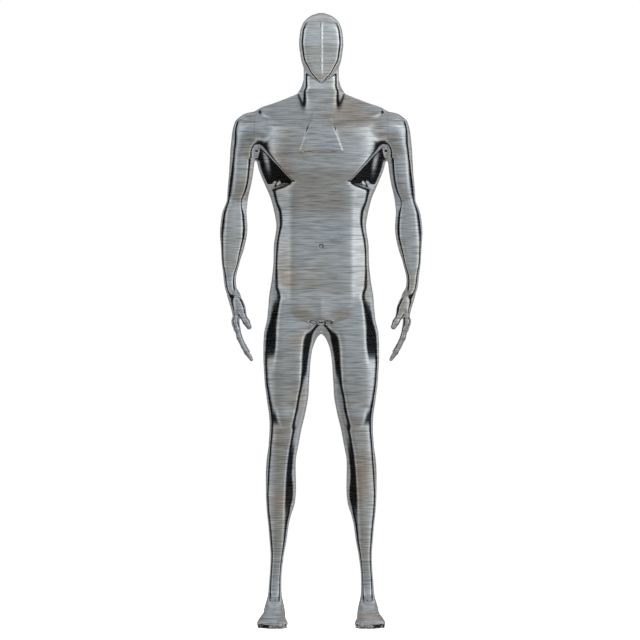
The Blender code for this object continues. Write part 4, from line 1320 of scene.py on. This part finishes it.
@dataclass
class Studio:
    """What is round the figure: floor, lamp, the room that its metal mirrors, and camera."""

    distance: float = 12.0
    middle_x: float = -0.0037
    eye_level: float = 0.936
    frame_height: float = 1.971
    farthest: float = 60.0
    floor_radius: float = 1.9
    floor_fade: float = 0.5
    floor_z: float = -0.0005
    floor_tone: float = 0.90
    floor_roughness: float = 0.9
    sensor: float = 36.0
    lamp_at: tuple = (0.0, -0.5, 5.0)
    lamp_size: float = 6.0
    lamp_power: float = 700.0
    horizon: tuple = (-0.35, 0.10)
    ceiling: tuple = (0.60, 0.88)
    ceiling_colour: tuple = (0.42, 0.435, 0.44, 1.0)
    side_light: tuple = (0.80, 1.30)

    def camera(self) -> None:
        """Stand the camera in front of the figure, level, at long range."""
        data = bpy.data.cameras.new("camera")
        data.sensor_width = self.sensor
        data.lens = self.sensor * self.distance / self.frame_height
        data.clip_end = self.farthest
        made = bpy.data.objects.new("camera", data)
        made.location = (self.middle_x, PLUMB_Y - self.distance, self.eye_level)
        made.rotation_euler = (math.radians(90.0), 0.0, 0.0)
        bpy.context.scene.collection.objects.link(made)
        bpy.context.scene.camera = made

    def floor(self) -> None:
        """Lay a round pale floor just under the soles, which fades out toward its edge."""
        bm = bmesh.new()
        bmesh.ops.create_circle(bm, cap_ends=True, segments=96, radius=self.floor_radius)
        mesh = bpy.data.meshes.new("floor")
        bm.to_mesh(mesh)
        bm.free()
        made = bpy.data.objects.new("floor", mesh)
        made.location.z = self.floor_z
        made.visible_glossy = False
        bpy.context.scene.collection.objects.link(made)
        finish, tree, coords = start_material("pale_floor", 0.0)
        shader = tree.nodes[SHADER]
        shader.inputs["Base Color"].default_value = (*(self.floor_tone,) * 3, 1.0)
        shader.inputs["Roughness"].default_value = self.floor_roughness
        shader.inputs["Specular IOR Level"].default_value = 0.0
        length = tree.nodes.new("ShaderNodeVectorMath")
        length.operation = "LENGTH"
        tree.links.new(coords, length.inputs[0])
        span = (self.floor_fade, self.floor_radius)
        fade = mapped(tree, length.outputs["Value"], span, (1.0, 0.0), "SMOOTHSTEP")
        tree.links.new(fade, shader.inputs["Alpha"])
        mesh.materials.append(finish)

    def lamp(self) -> None:
        """Hang a large soft lamp that lights the floor and isn't mirrored in the metal."""
        data = bpy.data.lights.new("ceiling_lamp", "AREA")
        data.shape = "DISK"
        data.size = self.lamp_size
        data.energy = self.lamp_power
        made = bpy.data.objects.new("ceiling_lamp", data)
        made.location = self.lamp_at
        made.visible_glossy = False
        bpy.context.scene.collection.objects.link(made)

    def room(self) -> None:
        """Set the room that the metal mirrors, by direction; the camera sees plain white.

        Facing the figure's front the room is mid grey. From there to the sides comes a bright
        band, the sides are black, and behind the figure it is grey again. The lower half is
        darker and warmer, the ceiling is an even grey, and the figure's left is brighter.
        """
        world = bpy.data.worlds.new("studio")
        bpy.context.scene.world = world
        world.use_nodes = True
        tree = world.node_tree
        tree.nodes.clear()
        new, link = tree.nodes.new, tree.links.new
        coords, split = new("ShaderNodeTexCoord"), new("ShaderNodeSeparateXYZ")
        link(coords.outputs["Generated"], split.inputs["Vector"])

        depth = mapped(tree, split.outputs["Y"], (-1.0, 1.0))
        upper, lower = (
            coloured(tree, depth, tuple(((at + 1.0) / 2.0, colour) for at, colour in stops))
            for stops in (UPPER_ROOM, LOWER_ROOM))
        walls = new("ShaderNodeMix")
        walls.data_type = "RGBA"
        link(mapped(tree, split.outputs["Z"], self.horizon), walls.inputs["Factor"])
        link(lower, walls.inputs["A"])
        link(upper, walls.inputs["B"])
        whole = new("ShaderNodeMix")
        whole.data_type = "RGBA"
        link(mapped(tree, split.outputs["Z"], self.ceiling), whole.inputs["Factor"])
        link(walls.outputs["Result"], whole.inputs["A"])
        whole.inputs["B"].default_value = self.ceiling_colour
        lean = mapped(tree, split.outputs["X"], (-1.0, 1.0), self.side_light)

        mirrored = new("ShaderNodeBackground")
        link(scaled(tree, whole.outputs["Result"], lean), mirrored.inputs["Color"])
        white = new("ShaderNodeBackground")
        white.inputs["Color"].default_value = (1.0, 1.0, 1.0, 1.0)
        rays = new("ShaderNodeLightPath")
        choose = new("ShaderNodeMixShader")
        link(rays.outputs["Is Camera Ray"], choose.inputs["Fac"])
        link(mirrored.outputs["Background"], choose.inputs[1])
        link(white.outputs["Background"], choose.inputs[2])
        output = new("ShaderNodeOutputWorld")
        link(choose.outputs["Shader"], output.inputs["Surface"])

    def build(self) -> None:
        """Set up the camera, floor, lamp and room."""
        scene = bpy.context.scene
        scene.view_settings.view_transform = "Standard"
        self.camera()
        self.floor()
        self.lamp()
        self.room()


def hip_cut(facing: float) -> Cut:
    """Return the cut along the hip plane.

    Args:
        facing: 1 for the leg's skin, -1 for the pelvis.

    Returns:
        The cut, on the left side only.
    """
    normal = Vector((-math.sin(HIP_TILT), 0.0, math.cos(HIP_TILT))) * facing
    point = Vector((0.0, 0.0, HIP_LOW_Z)) - normal * SEAM
    return Cut(tuple(point), tuple(normal), only_left=True)


def under_hip_plane(x: Array, _: Array, z: Array) -> Array:
    """Return distances to the left leg's room: under the hip plane, left of the middle."""
    under = -math.sin(HIP_TILT) * x + math.cos(HIP_TILT) * (z - HIP_LOW_Z)
    return np.maximum(under, -x)


def left_leg_room(x: Array, y: Array, z: Array) -> Array:
    """Return distances to the left leg's room with a little more all round, for the cut."""
    return under_hip_plane(x, y, z) - TRIM


def pelvis_room(x: Array, y: Array, z: Array) -> Array:
    """Return distances to all but the left leg's room and the bore in the right heel.

    Args:
        x: Positions across.
        y: Positions along the depth.
        z: Levels.

    Returns:
        Distances, negative where the pelvis and right leg may be.
    """
    bore = np.sqrt((x - SPIGOT[0]) ** 2 + (y - SPIGOT[1]) ** 2) - SPIGOT_RADIUS
    bore = np.maximum(bore, z - SPIGOT_DEPTH)
    return np.maximum(-TRIM - under_hip_plane(x, y, z), -bore)


SKINS = (
    Skin("head_skin", "head", "head_shell", ("trunk", "head"),
         (-0.078, -0.085, 1.632), (0.078, 0.135, 1.888), (0.0020, 0.0024, 0.0024),
         (Cut((0, 0, NECK_Z + SEAM), (0, 0, -1)),)),
    Skin("chest_skin", "upper_body", "chest_shell", ("trunk", "arm", "head"),
         (-0.222, -0.125, 1.090), (0.222, 0.170, 1.655), (0.0033, 0.0033, 0.0033),
         (Cut((0, 0, WAIST_Z + SEAM), (0, 0, -1)), Cut((0, 0, NECK_Z - SEAM), (0, 0, 1)),
          Cut((SHOULDER_X - SEAM, 0, 0), (1, 0, 0)), Cut((SEAM - SHOULDER_X, 0, 0), (-1, 0, 0)))),
    Skin("left_arm_skin", "left_arm", "left_arm_shell", ("trunk", "arm"),
         (0.190, -0.060, 1.035), (0.322, 0.125, 1.600), (0.0026, 0.0026, 0.0030),
         (Cut((SHOULDER_X + SEAM, 0, 0), (-1, 0, 0)), Cut((0, 0, WRIST_Z + SEAM), (0, 0, -1), 0.0025)),
         True),
    Skin("lower_body_skin", "lower_body", "lower_body_shell", ("trunk", "leg", "crotch"),
         (-0.205, -0.165, -0.006), (0.172, 0.172, 1.112), (0.0028, 0.0028, 0.0034),
         (Cut((0, 0, WAIST_Z - SEAM), (0, 0, 1)), hip_cut(-1.0), Cut((0, 0, 0), (0, 0, -1), 0.0)),
         keep=pelvis_room),
    Skin("left_leg_skin", "left_leg", "left_leg_shell", ("trunk", "leg", "crotch"),
         (-0.006, -0.165, -0.006), (0.205, 0.172, 1.045), (0.0028, 0.0028, 0.0034),
         (hip_cut(1.0), Cut((0, 0, 0), (0, 0, -1), 0.0)), keep=left_leg_room),
    Skin("left_hand_skin", "left_hand", "left_hand", ("arm", "hand"),
         (0.196, -0.085, 0.800), (0.310, 0.050, 1.052), (0.0018, 0.0018, 0.0018),
         (Cut((0, 0, WRIST_Z - SEAM), (0, 0, 1), 0.0),), True),
)


def main() -> None:
    """Build the skins, dress the fittings, and set up the studio."""
    logging.basicConfig(level=logging.INFO, format="%(message)s")
    Studio().build()
    Fittings().dress()
    metal = BrushedSkin().material()
    light_metal = BrushedSkin(brightness=HEAD_BRIGHTNESS, title="brushed_metal_head").material()
    for skin in SKINS:
        for piece in skin.build():
            piece.data.materials.append(light_metal if skin.body == "head" else metal)


if __name__ == "__main__":
    main()
